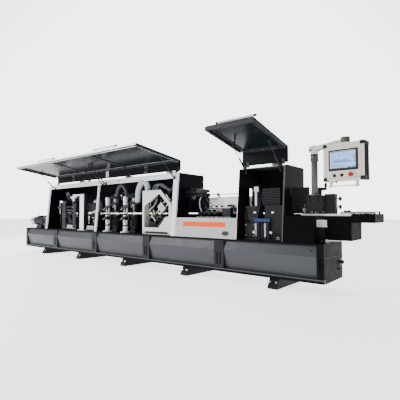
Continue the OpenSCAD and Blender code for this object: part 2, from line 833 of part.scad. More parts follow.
module glue_unit() {
    color("#b4b8bd") {
        block([2610, 2880], [-230, 30], [deck_z, deck_z + 20]);
        block([2640, 2840], [-190, -60], [deck_z + 20 + joint_gap, 860 - joint_gap]);
        difference() {
            block([2640, 2840], [-200, 45 - 10], [860, 885]);
            bar_z(glue_at[0], glue_at[1], [850, 890], 12 + run_fit);
        }
        block([2640, 2840], [-200, -50], [885 + joint_gap, 1015]);
        difference() {
            block([2640, 2840], [-200, 45 - 10], [1015 + joint_gap, 1035]);
            bar_z(glue_at[0], glue_at[1], [1010, 1040], 12 + run_fit);
        }
        bar_z(glue_tank_x, -120, [1035 + joint_gap, 1290], 44);
    }
}

module glue_roller() {
    color("#8f7a4a") {
        bar_z(glue_at[0], glue_at[1], [890, 1008], 34);
        bar_z(glue_at[0], glue_at[1], [866, 1050], 12);
    }
}

module press_unit() {
    color("#7d8187") {
        block([1760, 2420], [-215, 30], [deck_z, deck_z + 20]);
        block([1790, 2400], [-205, -130], [deck_z + 20 + joint_gap, 870 - joint_gap]);
        difference() {
            block([1780, 2410], [-205, 30], [870, 885]);
            bar_z(press_at[0], press_at[1], [860, 890], 14 + run_fit);
        }
        difference() {
            block([2260, 2400], [-205, 0], [1010, 1025]);
            bar_z(press_at[0], press_at[1], [1000, 1030], 14 + run_fit);
        }
        block([2260, 2400], [-205, -130], [885 + joint_gap, 1010 - joint_gap]);
        for (x = presses_x) {
            bar_z(x, edge_y - 34, [885 + joint_gap, 990], 33);
            bar_y(x, [-200, -40], 938, 16);
        }
    }
}

module press_roller() {
    color("#84888d") {
        bar_z(press_at[0], press_at[1], [892, 1004], 75);
        bar_z(press_at[0], press_at[1], [872, 1060], 14);
    }
}

// Turns its children so that local +X runs up the inclined end trimming guide
module on_guide() {
    translate([bc + saw_at[0], guide_y, saw_at[2] - 60]) rotate([0, -trim_rise, 0]) children();
}

module end_trim_frame() {
    color("#e2e0da") {
        // five-sided front frame, bolted from flat pieces
        front = [-262, -248];
        block([frame_x[0], frame_x[0] + 44 - joint_gap], front, [600, 1060]);
        block([frame_x[0] + 44, frame_x[1]], front, [634, 700]);
        for (x = [[frame_x[0] + 44, frame_x[0] + 64], [1220, frame_x[1]]])
            block(x, front, [600, 634 - joint_gap]);
        prism_y(front, [
            [996, 700 + joint_gap], [frame_x[1], 700 + joint_gap], [frame_x[1], 880], [1176, 880]
        ]);
        prism_y(front, [
            [frame_x[0], 1060 + joint_gap], [frame_x[0] + 44, 1060 + joint_gap], [1010, 1264],
            [1010, frame_top], [frame_x[0], frame_top]
        ]);
        prism_y(front, [
            [1010 + joint_gap, 1264], [1240, 1066], [frame_x[1], 1066], [frame_x[1], 1080],
            [1045, frame_top], [1010 + joint_gap, frame_top]
        ]);
        block([1240, frame_x[1]], front, [880 + joint_gap, 1066 - joint_gap]);
        block(frame_x, [-262, 30], [deck_z, 600 - joint_gap]);
        block([frame_x[0], frame_x[0] + 24], [-248 + joint_gap, -120], [600, 1250]);
        block([frame_x[1] - 24, frame_x[1]], [-248 + joint_gap, -120], [600, 1060]);
        on_guide() for (side = [-1, 1]) {
            translate([0, 0, side * guide_gap / 2]) rotate([0, 90, 0]) cylinder(h = 480, r = 12, center = true);
            translate([side * 240 - 12, guide_y_reach, -70]) cube([24, 90, 140]);
        }
    }
}

module end_trim_head() {
    color("#6a6f76") {
        on_guide() difference() {
            translate([-60, -34, -75]) cube([120, 68, 150]);
            for (side = [-1, 1]) translate([0, 0, side * guide_gap / 2])
                rotate([0, 90, 0]) cylinder(h = 130, r = 12 + run_fit, center = true);
        }
        difference() {
            union() {
                bar_x([saw_at[0] - 90, saw_at[0] + 110], saw_at[1], saw_at[2], 48);
                block([saw_at[0] - 30, saw_at[0] + 30],
                    [guide_y + 34.2, saw_at[1]], [saw_at[2] - 45, saw_at[2] - 10]);
            }
            bar_x([saw_at[0] - 91, saw_at[0] - 40], saw_at[1], saw_at[2], 8 + run_fit);
        }
    }
}

module end_trim_saw() {
    color("#c9ccd0") {
        bar_x([saw_at[0] - 110, saw_at[0] - 106], saw_at[1], saw_at[2], 90);
        bar_x([saw_at[0] - 118, saw_at[0] - 98], saw_at[1], saw_at[2], 22);
        bar_x([saw_at[0] - 118, saw_at[0] - 45], saw_at[1], saw_at[2], 8);
    }
}

module trim_units() {
    color("#d8d9da") {
        for (x = trims_x) {
            // column on its flange, with a top plate towards the infeed end
            bar_z(x, trim_column_y, [deck_z, deck_z + 18], 90);
            bar_z(x, trim_column_y, [deck_z + 18, trim_column_top], trim_column_r);
            block([x + trim_column_r + joint_gap, x + 275], [trim_column_y - 30, trim_column_y + 30],
                [trim_column_top - 20, trim_column_top]);
            for (z = [[815, 880], [1000, 1060]]) difference() {
                block(around(x, 110), [trim_column_y - 52, spindle_y - 45 - 22 - joint_gap], z);
                bar_z(x, trim_column_y, [z[0] - 1, z[1] + 1], trim_column_r + joint_gap);
            }
            motor_pair(x, spindle_y, 45, trim_low, trim_high);
        }
        // corner rounding unit: column, arm and motor
        block(around(corner_x, 150), [-262, -160], [deck_z, 1340]);
        block([corner_x + 75 + joint_gap, corner_motor_x + 60], [-190, -165 - joint_gap], [1000, 1150]);
        bar_z(corner_motor_x, -80, [965, 1195], 85);
    }
}

module rough_trim_cutters() {
    color("#a3a6aa") cutter_pair(trims_x[0], spindle_y, 35, trim_low, trim_high);
}

module fine_trim_cutters() {
    color("#a3a6aa") cutter_pair(trims_x[1], spindle_y, 35, trim_low, trim_high);
}

module finishing_units() {
    color("#4d5259") {
        motor_pair(buff_x, buff_y, 50, buff_low, buff_high);
        block(around(buff_x, 150), [-250, buff_y - 50 - 22 - joint_gap], [deck_z, 1215]);
        block(around(scraper_x, 140), [-240, -120], [deck_z, 1150]);
        for (z = [[800, 905], [975, 1090]]) {
            block(around(scraper_x, 90), [-120 + joint_gap, 10], z);
            block(around(scraper_x, 30), [10 + joint_gap, edge_y - 2], [z[0] + 30, z[1] - 30]);
        }
    }
}

module buffing_wheels() {
    color("#d9cfae") cutter_pair(buff_x, buff_y, buff_r, buff_low, buff_high);
}

base_frame();
cross_feet();
foot_bolts();
skirt_panels();
skirt_posts();
main_hood_walls();
main_hood_posts();
small_hood_walls();
hood_hinge_pins();
middle_cover();
main_lid_shell();
main_lid_windows();
main_lid_trim();
main_lid_handles();
main_strut_cylinders();
main_strut_rods();
small_lid_shell();
small_lid_window();
small_lid_trim();
small_lid_handle();
small_strut_cylinders();
small_strut_rods();
conveyor_bed();
feed_chain();
feed_drive_sprocket();
feed_idler_sprocket();
feed_gearmotor();
pressure_beam();
pressure_belt();
belt_drive_pulley();
belt_idler_pulley();
lift_columns();
beam_handwheel();
infeed_table();
infeed_bracket();
infeed_fence();
hmi_post();
hmi_arm();
hmi_housing();
hmi_screen();
hmi_handle();
start_button();
stop_button();
emergency_stop();
main_switch();
pre_mill_unit();
pre_mill_cutter_infeed();
pre_mill_cutter_outfeed();
glue_unit();
glue_roller();
press_unit();
press_roller();
end_trim_frame();
end_trim_head();
end_trim_saw();
trim_units();
rough_trim_cutters();
fine_trim_cutters();
finishing_units();
buffing_wheels();
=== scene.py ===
"""Edge banding machine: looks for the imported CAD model.

Positions are given in millimetres from the middle of the base, as in the CAD design, and at()
turns them into metres in the frame. +X is the infeed end, +Y the rear, +Z up.
"""
import json
import math

import bmesh
import bpy
from mathutils import Matrix, Vector

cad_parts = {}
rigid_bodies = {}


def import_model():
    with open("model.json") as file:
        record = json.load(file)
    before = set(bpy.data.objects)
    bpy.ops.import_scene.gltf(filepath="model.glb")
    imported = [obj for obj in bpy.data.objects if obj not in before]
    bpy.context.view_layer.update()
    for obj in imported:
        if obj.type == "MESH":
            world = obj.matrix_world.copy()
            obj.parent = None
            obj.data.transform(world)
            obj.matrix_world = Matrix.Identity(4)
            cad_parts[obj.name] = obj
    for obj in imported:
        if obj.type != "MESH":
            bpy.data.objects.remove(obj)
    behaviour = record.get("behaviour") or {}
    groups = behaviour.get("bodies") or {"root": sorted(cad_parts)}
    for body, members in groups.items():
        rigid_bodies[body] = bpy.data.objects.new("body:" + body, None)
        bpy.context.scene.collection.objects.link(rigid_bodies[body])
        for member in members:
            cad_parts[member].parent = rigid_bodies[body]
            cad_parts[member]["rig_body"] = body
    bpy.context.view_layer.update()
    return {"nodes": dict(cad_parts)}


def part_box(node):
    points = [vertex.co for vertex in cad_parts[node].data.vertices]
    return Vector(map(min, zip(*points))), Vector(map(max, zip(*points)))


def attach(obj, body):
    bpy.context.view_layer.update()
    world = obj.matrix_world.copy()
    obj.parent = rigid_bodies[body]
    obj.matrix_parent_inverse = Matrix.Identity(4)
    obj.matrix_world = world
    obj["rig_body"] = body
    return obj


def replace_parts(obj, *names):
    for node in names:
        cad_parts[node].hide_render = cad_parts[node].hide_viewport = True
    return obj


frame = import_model()
nodes = frame["nodes"]
base_lo, base_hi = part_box("base_frame")
MID_X = (base_lo.x + base_hi.x) / 2
FRONT = base_lo.y * 1000
BASE_X = ((base_lo.x - MID_X) * 1000, (base_hi.x - MID_X) * 1000)

# directions: along the machine, to the rear, to the operator, up
ALONG, TO_REAR, TO_FRONT, UP = (1, 0, 0), (0, 1, 0), (0, -1, 0), (0, 0, 1)
POST = (3578, -120, 0)  # axis of the operator panel's post
HUB = (4015, -365, 0)  # axis that the panel swivels about
PANEL_TURN = math.radians(-4.9)
TRIM_Y = -215  # axis of the trimming columns
SAW_Y, SAW_Z = -55, 1090  # axis of the end-trim saw
EDGE_ANGLE = math.radians(38)  # sharper edges than this are rounded
SHARP_ANGLE = math.radians(33)  # sharper edges than this are shaded as sharp


def at(x, y, z):
    """A point given in millimetres from the middle of the base."""
    return Vector((MID_X + x / 1000, y / 1000, z / 1000))


def span(node):
    """The box of a CAD node in millimetres from the middle of the base."""
    lo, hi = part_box(node)
    return (
        Vector(((lo.x - MID_X) * 1000, lo.y * 1000, lo.z * 1000)),
        Vector(((hi.x - MID_X) * 1000, hi.y * 1000, hi.z * 1000)),
    )


# ---- camera, floor and light ----

def make_camera():
    cam = bpy.data.cameras.new("camera")
    cam.lens = 30.87
    cam.sensor_width = 36
    obj = bpy.data.objects.new("camera", cam)
    bpy.context.scene.collection.objects.link(obj)
    obj.location = at(5156, -4184.5, 930)
    azimuth, pitch = math.radians(39.75), math.radians(2.3)
    forward = Vector((-math.sin(azimuth) * math.cos(pitch), math.cos(azimuth) * math.cos(pitch),
                      math.sin(pitch)))
    obj.rotation_mode = "QUATERNION"
    obj.rotation_quaternion = forward.to_track_quat("-Z", "Y")
    bpy.context.scene.camera = obj


def area_light(name, place, aim, size, power, colour=(1, 1, 1)):
    light = bpy.data.lights.new(name, "AREA")
    light.shape = "RECTANGLE"
    light.size, light.size_y = size
    light.energy = power
    light.color = colour
    obj = bpy.data.objects.new(name, light)
    bpy.context.scene.collection.objects.link(obj)
    obj.location = place
    obj.rotation_mode = "QUATERNION"
    obj.rotation_quaternion = (aim - place).to_track_quat("-Z", "Y")
    return obj


def make_stage():
    mesh = bpy.data.meshes.new("floor")
    reach = 60
    mesh.from_pydata([(-reach, -reach, 0), (reach, -reach, 0), (reach, reach, 0), (-reach, reach, 0)], [],
                     [(0, 1, 2, 3)])
    floor = bpy.data.objects.new("floor", mesh)
    bpy.context.scene.collection.objects.link(floor)
    paper = surface("floor_paper", (0.86, 0.86, 0.86), 0.85, grain=0.01, bump=0, specular=0.1)
    paper.node_tree.nodes["Principled BSDF"].inputs["Emission Color"].default_value = (1, 1, 1, 1)
    paper.node_tree.nodes["Principled BSDF"].inputs["Emission Strength"].default_value = 2.0
    mesh.materials.append(paper)
    # white backdrop behind the machine, dimmer room on the side of the lens and the infeed end
    world = bpy.data.worlds.new("studio")
    world.use_nodes = True
    tree = world.node_tree
    background = tree.nodes["Background"]
    background.inputs["Color"].default_value = (0.97, 0.98, 1.0, 1)
    direction = tree.nodes.new("ShaderNodeTexCoord").outputs["Generated"]
    towards = tree.nodes.new("ShaderNodeVectorMath")
    towards.operation = "DOT_PRODUCT"
    towards.inputs[1].default_value = (-0.64, 0.77, 0.0)
    tree.links.new(direction, towards.inputs[0])
    level = tree.nodes.new("ShaderNodeMapRange")
    level.inputs["From Min"].default_value = 0.5
    level.inputs["From Max"].default_value = 0.82
    level.inputs["To Min"].default_value = 0.3
    level.inputs["To Max"].default_value = 4.5
    tree.links.new(towards.outputs["Value"], level.inputs["Value"])
    tree.links.new(level.outputs["Result"], background.inputs["Strength"])
    bpy.context.scene.world = world
    middle = at(0, 0, 900)
    area_light("key", at(-6500, -7000, 5200), at(-1500, 0, 800), (6, 3), 1200)
    area_light("fill", at(6500, -6500, 2600), at(3600, 0, 1300), (3, 2), 30)
    area_light("top", at(-1500, -600, 7500), middle, (9, 3), 260)


# ---- materials ----

def surface(name, colour, rough=0.5, metal=0.0, grain=0.08, grain_scale=6.0, bump=0.04, bump_scale=900.0,
            brushed=None, coat=0.0, sheen=0.0, dust=0.0, specular=0.5):
    """A procedural finish: mottled colour, uneven gloss, fine relief; brushed names the brushing axis."""
    mat = bpy.data.materials.new(name)
    mat.use_nodes = True
    tree = mat.node_tree
    shader = tree.nodes["Principled BSDF"]
    link = tree.links.new

    def node(kind, **settings):
        made = tree.nodes.new(kind)
        for key, value in settings.items():
            setattr(made, key, value)
        return made

    def noise(source, scale, detail=3.0):
        made = node("ShaderNodeTexNoise")
        made.inputs["Scale"].default_value = scale
        made.inputs["Detail"].default_value = detail
        link(source, made.inputs["Vector"])
        return made.outputs["Fac"]

    def ranged(source, low, high):
        made = node("ShaderNodeMapRange")
        made.inputs["From Min"].default_value = 0.3
        made.inputs["From Max"].default_value = 0.7
        made.inputs["To Min"].default_value = low
        made.inputs["To Max"].default_value = high
        link(source, made.inputs["Value"])
        return made.outputs["Result"]

    shader.inputs["Specular IOR Level"].default_value = specular
    place = node("ShaderNodeTexCoord").outputs["Object"]
    dark = [max(0.0, c * (1 - grain)) for c in colour]
    light = [min(1.0, c * (1 + grain)) for c in colour]
    mix = node("ShaderNodeMix", data_type="RGBA")
    link(noise(place, grain_scale), mix.inputs["Factor"])
    mix.inputs["A"].default_value = (*dark, 1)
    mix.inputs["B"].default_value = (*light, 1)
    tint = mix.outputs["Result"]
    if dust:
        layer = node("ShaderNodeMix", data_type="RGBA")
        link(ranged(noise(place, 2.3, 6.0), 0.0, dust), layer.inputs["Factor"])
        link(tint, layer.inputs["A"])
        layer.inputs["B"].default_value = (0.45, 0.42, 0.37, 1)
        tint = layer.outputs["Result"]
    link(tint, shader.inputs["Base Color"])
    shader.inputs["Metallic"].default_value = metal
    link(ranged(noise(place, grain_scale * 2.1, 5.0), rough * 0.85, min(1.0, rough * 1.15)),
         shader.inputs["Roughness"])
    if coat:
        shader.inputs["Coat Weight"].default_value = coat
        shader.inputs["Coat Roughness"].default_value = 0.12
    if sheen:
        shader.inputs["Sheen Weight"].default_value = sheen
    if bump:
        relief = node("ShaderNodeBump")
        relief.inputs["Strength"].default_value = bump
        relief.inputs["Distance"].default_value = 0.0006
        source = place
        if brushed:
            stretch = node("ShaderNodeMapping")
            stretch.inputs["Scale"].default_value = [0.02 if axis == brushed else 1.0 for axis in "xyz"]
            link(place, stretch.inputs["Vector"])
            source = stretch.outputs["Vector"]
        link(noise(source, bump_scale, 2.0), relief.inputs["Height"])
        link(relief.outputs["Normal"], shader.inputs["Normal"])
    return mat


def glowing(name, colour, strength):
    mat = surface(name, colour, 0.18, grain=0.02, bump=0)
    shader = mat.node_tree.nodes["Principled BSDF"]
    shader.inputs["Emission Color"].default_value = (*colour, 1)
    shader.inputs["Emission Strength"].default_value = strength
    return mat


# colour, roughness, metal, grain, grain scale, relief, relief scale; then what only some finishes have
FINISHES = {
    "skirt": ((0.05, 0.053, 0.06), 0.42, 0.2, 0.07, 3.0, 0.05, 1400, {"specular": 0.2}),
    "skirt_post": ((0.012, 0.013, 0.017), 0.42, 0.1, 0.08, 3.0, 0.05, 1400, {"specular": 0.15}),
    "sill": ((0.05, 0.054, 0.06), 0.42, 0.3, 0.06, 3.0, 0.05, 1400, {"specular": 0.25}),
    "black": ((0.004, 0.004, 0.005), 0.5, 0.0, 0.2, 5.0, 0.06, 900, {"specular": 0.04}),
    "cast_black": ((0.005, 0.005, 0.005), 0.6, 0.0, 0.25, 9.0, 0.35, 420, {"specular": 0.15}),
    "hood_dark": ((0.003, 0.0035, 0.006), 0.4, 0.0, 0.15, 4.0, 0.05, 1200, {"specular": 0.05}),
    "hood_brown": ((0.006, 0.0055, 0.005), 0.42, 0.0, 0.1, 4.0, 0.05, 1200, {"specular": 0.06}),
    "white": ((0.78, 0.79, 0.81), 0.34, 0.0, 0.03, 4.0, 0.05, 1300, {"coat": 0.2}),
    "cream": ((0.6, 0.59, 0.55), 0.4, 0.0, 0.05, 5.0, 0.08, 900, {}),
    "cover": ((0.38, 0.375, 0.385), 0.42, 0.1, 0.04, 4.0, 0.05, 1300, {}),
    "orange": ((0.75, 0.085, 0.0), 0.45, 0.0, 0.04, 9.0, 0.02, 1500, {"specular": 0.2}),
    "window": ((0.004, 0.007, 0.008), 0.22, 0.0, 0.25, 1.2, 0.01, 60, {"specular": 0.1}),
    "window_edge": ((0.01, 0.01, 0.011), 0.65, 0.0, 0.2, 30, 0.2, 700, {}),
    "lid_inner": ((0.004, 0.005, 0.006), 0.4, 0.0, 0.1, 4.0, 0.05, 1200, {"specular": 0.06}),
    "anodised": ((0.66, 0.67, 0.69), 0.32, 0.9, 0.04, 8.0, 0.12, 1500, {"brushed": "x"}),
    "steel": ((0.4, 0.41, 0.43), 0.3, 1.0, 0.08, 12.0, 0.16, 1200, {"brushed": "z"}),
    "dark_steel": ((0.018, 0.019, 0.021), 0.4, 0.5, 0.15, 12.0, 0.1, 900, {"specular": 0.3}),
    "chrome": ((0.75, 0.75, 0.77), 0.1, 1.0, 0.03, 12.0, 0.02, 900, {}),
    "zinc": ((0.5, 0.5, 0.49), 0.32, 0.9, 0.1, 30.0, 0.08, 900, {}),
    "brass": ((0.3, 0.22, 0.1), 0.35, 0.8, 0.08, 20.0, 0.05, 900, {}),
    "motor": ((0.01, 0.011, 0.014), 0.5, 0.1, 0.1, 9.0, 0.2, 600, {"dust": 0.02, "specular": 0.15}),
    "motor_silver": ((0.36, 0.37, 0.39), 0.42, 0.85, 0.08, 14.0, 0.25, 500, {}),
    "unit": ((0.009, 0.01, 0.013), 0.45, 0.1, 0.1, 8.0, 0.1, 800, {"dust": 0.02, "specular": 0.12}),
    "blue": ((0.012, 0.028, 0.14), 0.35, 0.3, 0.05, 12.0, 0.05, 900, {}),
    "rubber": ((0.006, 0.006, 0.006), 0.75, 0.0, 0.2, 20.0, 0.3, 700, {"specular": 0.15}),
    "hose_grey": ((0.18, 0.19, 0.2), 0.5, 0.0, 0.08, 15.0, 0.1, 600, {}),
    "hose_dark": ((0.022, 0.026, 0.033), 0.45, 0.0, 0.1, 15.0, 0.1, 600, {"specular": 0.4}),
    "air_blue": ((0.01, 0.03, 0.12), 0.35, 0.0, 0.05, 15.0, 0.02, 600, {}),
    "air_black": ((0.015, 0.015, 0.017), 0.4, 0.0, 0.1, 15.0, 0.02, 600, {}),
    "plastic": ((0.006, 0.006, 0.006), 0.45, 0.0, 0.15, 25.0, 0.25, 1100, {"specular": 0.2}),
    "buff": ((0.66, 0.6, 0.46), 0.9, 0.0, 0.12, 60.0, 0.6, 500, {"sheen": 0.4}),
    "post_grey": ((0.07, 0.068, 0.064), 0.42, 0.2, 0.05, 5.0, 0.06, 1100, {"specular": 0.3}),
    "bracket": ((0.012, 0.012, 0.0125), 0.5, 0.0, 0.1, 8.0, 0.15, 700, {"specular": 0.1}),
    "beige": ((0.56, 0.51, 0.46), 0.42, 0.0, 0.03, 6.0, 0.08, 1200, {}),
    "arm": ((0.6, 0.58, 0.55), 0.4, 0.0, 0.03, 6.0, 0.08, 1200, {}),
    "bezel": ((0.012, 0.013, 0.014), 0.25, 0.0, 0.1, 20.0, 0.02, 900, {"coat": 0.4}),
    "red": ((0.32, 0.004, 0.006), 0.35, 0.0, 0.06, 25.0, 0.05, 900, {"specular": 0.3}),
    "table": ((0.6, 0.6, 0.61), 0.3, 0.85, 0.05, 8.0, 0.14, 1300, {"brushed": "x"}),
    "box_black": ((0.003, 0.003, 0.003), 0.5, 0.0, 0.2, 5.0, 0.06, 1000, {"specular": 0.02}),
    "hose_light": ((0.42, 0.46, 0.5), 0.4, 0.0, 0.06, 15.0, 0.1, 600, {}),
    "air_white": ((0.4, 0.44, 0.48), 0.3, 0.0, 0.05, 15.0, 0.02, 600, {}),
    "silver_tank": ((0.72, 0.73, 0.75), 0.25, 0.6, 0.05, 15.0, 0.05, 900, {}),
    "ribs": ((0.02, 0.021, 0.024), 0.45, 0.0, 0.1, 12.0, 0.1, 700, {"specular": 0.25}),
    "pink": ((0.2, 0.12, 0.115), 0.5, 0.0, 0.08, 15.0, 0.1, 700, {}),
    "green": ((0.02, 0.16, 0.09), 0.4, 0.0, 0.08, 15.0, 0.05, 700, {}),
    "lid_rail": ((0.025, 0.027, 0.031), 0.4, 0.0, 0.08, 5.0, 0.05, 1200, {"specular": 0.2}),
    "badge": ((0.03, 0.03, 0.035), 0.3, 0.2, 0.1, 20.0, 0.02, 900, {"coat": 0.4}),
}
GLOWING = {
    "screen_blue": ((0.26, 0.46, 0.78), 0.42),
    "screen_bar": ((0.22, 0.24, 0.28), 0.3),
    "screen_ink": ((0.07, 0.14, 0.32), 0.3),
    "screen_teal": ((0.04, 0.26, 0.28), 0.3),
}


def make_finishes():
    made = {key: surface(key, *row[:-1], **row[-1]) for key, row in FINISHES.items()}
    return made | {key: glowing(key, *row) for key, row in GLOWING.items()}


CAD_FINISH = {
    "base_frame": "black", "cross_feet": "cast_black", "foot_bolts": "zinc", "main_hood_walls": "hood_dark",
    "main_hood_posts": "white", "hood_hinge_pins": "dark_steel", "middle_cover": "cover",
    "main_lid_windows": "window", "small_lid_window": "window", "main_strut_cylinders": "plastic",
    "main_strut_rods": "dark_steel", "small_strut_cylinders": "plastic", "small_strut_rods": "dark_steel",
    "conveyor_bed": "black", "feed_drive_sprocket": "steel", "feed_idler_sprocket": "steel",
    "pressure_beam": "anodised", "belt_drive_pulley": "steel", "belt_idler_pulley": "steel",
    "lift_columns": "dark_steel", "beam_handwheel": "plastic", "infeed_fence": "anodised",
    "hmi_post": "post_grey", "hmi_arm": "arm", "hmi_housing": "beige", "hmi_handle": "anodised",
    "start_button": "plastic", "stop_button": "plastic", "emergency_stop": "red", "main_switch": "plastic",
    "pre_mill_cutter_infeed": "steel", "pre_mill_cutter_outfeed": "steel", "glue_roller": "brass",
    "press_roller": "steel", "end_trim_head": "motor_silver", "end_trim_saw": "steel",
    "rough_trim_cutters": "steel", "fine_trim_cutters": "steel", "buffing_wheels": "buff",
    "infeed_bracket": "bracket",
}


def finish_cad_nodes():
    for name, key in CAD_FINISH.items():
        obj = nodes[name]
        obj.data.materials.clear()
        obj.data.materials.append(finishes[key])
        soften(obj)


def soften(obj, width=0.0012):
    """Welds the shading splits and rounds the sharp edges a little, without touching the mesh itself."""
    weld = obj.modifiers.new("weld", "WELD")
    weld.merge_threshold = 0.00002
    bevel = obj.modifiers.new("edge_round", "BEVEL")
    bevel.width = width
    bevel.segments = 2
    bevel.limit_method = "ANGLE"
    bevel.angle_limit = EDGE_ANGLE
    bevel.harden_normals = False


# ---- mesh tools ----

def turns(count):
    return [2 * math.pi * i / count for i in range(count)]


def on_circle(x, y, z, r, t):
    """The point at angle t of a level circle."""
    return x + r * math.cos(t), y + r * math.sin(t), z


def out_at(t):
    """The level direction at angle t."""
    return Vector((math.cos(t), math.sin(t), 0))


def basis(axis):
    """Two directions square to the axis, and the axis itself."""
    w = Vector(axis).normalized()
    u = w.orthogonal().normalized()
    return u, w.cross(u), w


def smooth_path(points, step=None):
    """Points along a smooth curve through the given ones."""
    pts = [Vector(p) for p in points]
    pts = [2 * pts[0] - pts[1]] + pts + [2 * pts[-1] - pts[-2]]
    path = []
    for a, b, c, d in zip(pts, pts[1:], pts[2:], pts[3:]):
        count = max(2, round((c - b).length / step)) if step else 8
        for i in range(count):
            t = i / count
            square, cube = 2 * a - 5 * b + 4 * c - d, 3 * b - a - 3 * c + d
            path.append(0.5 * (2 * b + (c - a) * t + square * t * t + cube * t * t * t))
    return path + [pts[-2]]


class Piece:
    """Geometry collected in millimetres from the middle of the base, with a finish on each face."""

    def __init__(self, name, body, slot, place=None):
        self.name, self.body, self.slot = name, body, slot
        self.place = place or Matrix.Identity(4)
        self.points, self.faces, self.keys = [], [], []

    def loft(self, rings, key, closed=False):
        """Skins a row of rings that have equally many points, with a cap on each end."""
        start, count, rows = len(self.points), len(rings[0]), len(rings)
        for ring in rings:
            self.points.extend(self.place @ Vector(p) for p in ring)
        for i in range(rows if closed else rows - 1):
            a, b = start + i * count, start + (i + 1) % rows * count
            for j in range(count):
                k = (j + 1) % count
                self.faces.append((a + j, a + k, b + k, b + j))
                self.keys.append(key)
        if not closed:
            last = start + (rows - 1) * count
            self.faces.append(tuple(range(start + count - 1, start - 1, -1)))
            self.faces.append(tuple(range(last, last + count)))
            self.keys.extend((key, key))
        return self

    def box(self, x, y, z, key):
        return self.loft([[(x[0], y[0], h), (x[1], y[0], h), (x[1], y[1], h), (x[0], y[1], h)] for h in z],
                         key)

    def prism_x(self, x, outline, key):
        return self.loft([[(s, a, b) for a, b in outline] for s in x], key)

    def slab(self, centre, u, v, w, key):
        """A block about a centre, given by its three half edges."""
        c, u, v, w = (Vector(p) for p in (centre, u, v, w))
        return self.loft([[c - u - v + s * w, c + u - v + s * w, c + u + v + s * w,
                           c - u + v + s * w] for s in (-1, 1)], key)

    def lathe(self, base, axis, profile, key, sides=28):
        """Turns a profile of (distance along the axis, radius) about the axis."""
        base, (u, v, w) = Vector(base), basis(axis)

        def circle(along, r):
            return [base + w * along + (u * math.cos(t) + v * math.sin(t)) * r for t in turns(sides)]

        return self.loft([circle(along, r) for along, r in profile], key)

    def rod(self, start, end, r, key, sides=20):
        start, end = Vector(start), Vector(end)
        return self.lathe(start, end - start, [(0, r), ((end - start).length, r)], key, sides)

    def ring(self, centre, axis, big, small, key, sides=32):
        centre, (u, v, w) = Vector(centre), basis(axis)
        rings = []
        for t in turns(sides):
            out = u * math.cos(t) + v * math.sin(t)
            rings.append([centre + out * (big + small * math.cos(s)) + w * small * math.sin(s)
                          for s in turns(10)])
        return self.loft(rings, key, closed=True)

    def ball(self, centre, r, key):
        steps = [math.pi * (i + 0.5) / 9 for i in range(9)]
        return self.lathe(centre, UP, [(-r * math.cos(t), r * math.sin(t)) for t in steps], key, 18)

    def tube(self, points, r, key, sides=10, ribs=0.0):
        """A round line along a smooth curve through the points; ribs is the pitch of a corrugated hose."""
        path = smooth_path(points, ribs / 4 if ribs else None)
        side, rings = None, []
        for i, p in enumerate(path):
            along = (path[min(i + 1, len(path) - 1)] - path[max(i - 1, 0)]).normalized()
            side = basis(along)[0] if side is None else (side - along * side.dot(along)).normalized()
            other = along.cross(side)
            here = r * 1.1 if ribs and i % 4 < 2 else r
            rings.append([p + (side * math.cos(t) + other * math.sin(t)) * here for t in turns(sides)])
        return self.loft(rings, key)

    def bolt(self, place, axis, size, key="zinc"):
        """A hexagon head on a washer."""
        washer = size * 0.18
        self.lathe(place, axis, [(0, size * 1.1), (washer, size * 1.1)], key, 16)
        head = Vector(place) + Vector(axis).normalized() * washer
        return self.lathe(head, axis, [(0, size * 0.85), (size * 0.5, size * 0.85),
                                       (size * 0.6, size * 0.74)], key, 6)

    def bolts(self, places, axis, size, key="zinc"):
        for place in places:
            self.bolt(place, axis, size, key)
        return self

    def motor(self, start, end, r, body_key, cowl_key, fins=20):
        """A motor: end bell, finned body and, at the far end, a fan cowl with a grille."""
        start, end = Vector(start), Vector(end)
        length, (u, v, w) = (end - start).length, basis(end - start)
        self.lathe(start, w, [(0, r * 0.7), (length * 0.04, r * 0.95), (length * 0.12, r * 0.95),
                              (length * 0.13, r * 0.84), (length * 0.76, r * 0.84)], body_key)
        self.lathe(start + w * length * 0.76, w, [(0, r * 0.98), (length * 0.18, r * 0.98),
                                                  (length * 0.24, r * 0.8)], cowl_key)
        for t in turns(fins):
            out = u * math.cos(t) + v * math.sin(t)
            self.slab(start + w * length * 0.445 + out * r * 0.9, out * r * 0.09, out.cross(w) * r * 0.02,
                      w * length * 0.31, body_key)
        for share in (0.25, 0.45, 0.65):
            self.ring(end, w, r * share, r * 0.035, cowl_key, 24)
        return self

    def air_cylinder(self, start, end, r, key="anodised"):
        """A square-ended air cylinder with its rod out of the far end."""
        start, end = Vector(start), Vector(end)
        w = (end - start).normalized()
        length = (end - start).length
        self.lathe(start, w, [(0, r), (length * 0.7, r)], key, 20)
        u, v, _ = basis(w)
        for share in (0.03, 0.67):
            self.slab(start + w * length * share, u * r * 1.15, v * r * 1.15, w * r * 0.45, "dark_steel")
        return self.lathe(start + w * length * 0.7, w, [(0, r * 0.3), (length * 0.3, r * 0.3)], "chrome",
                          14)

    def build(self, bevel=0.0008):
        mesh = bpy.data.meshes.new(self.name)
        mesh.from_pydata([at(*p) for p in self.points], [], self.faces)
        return dress(mesh, self.name, self.body, self.keys, bevel)


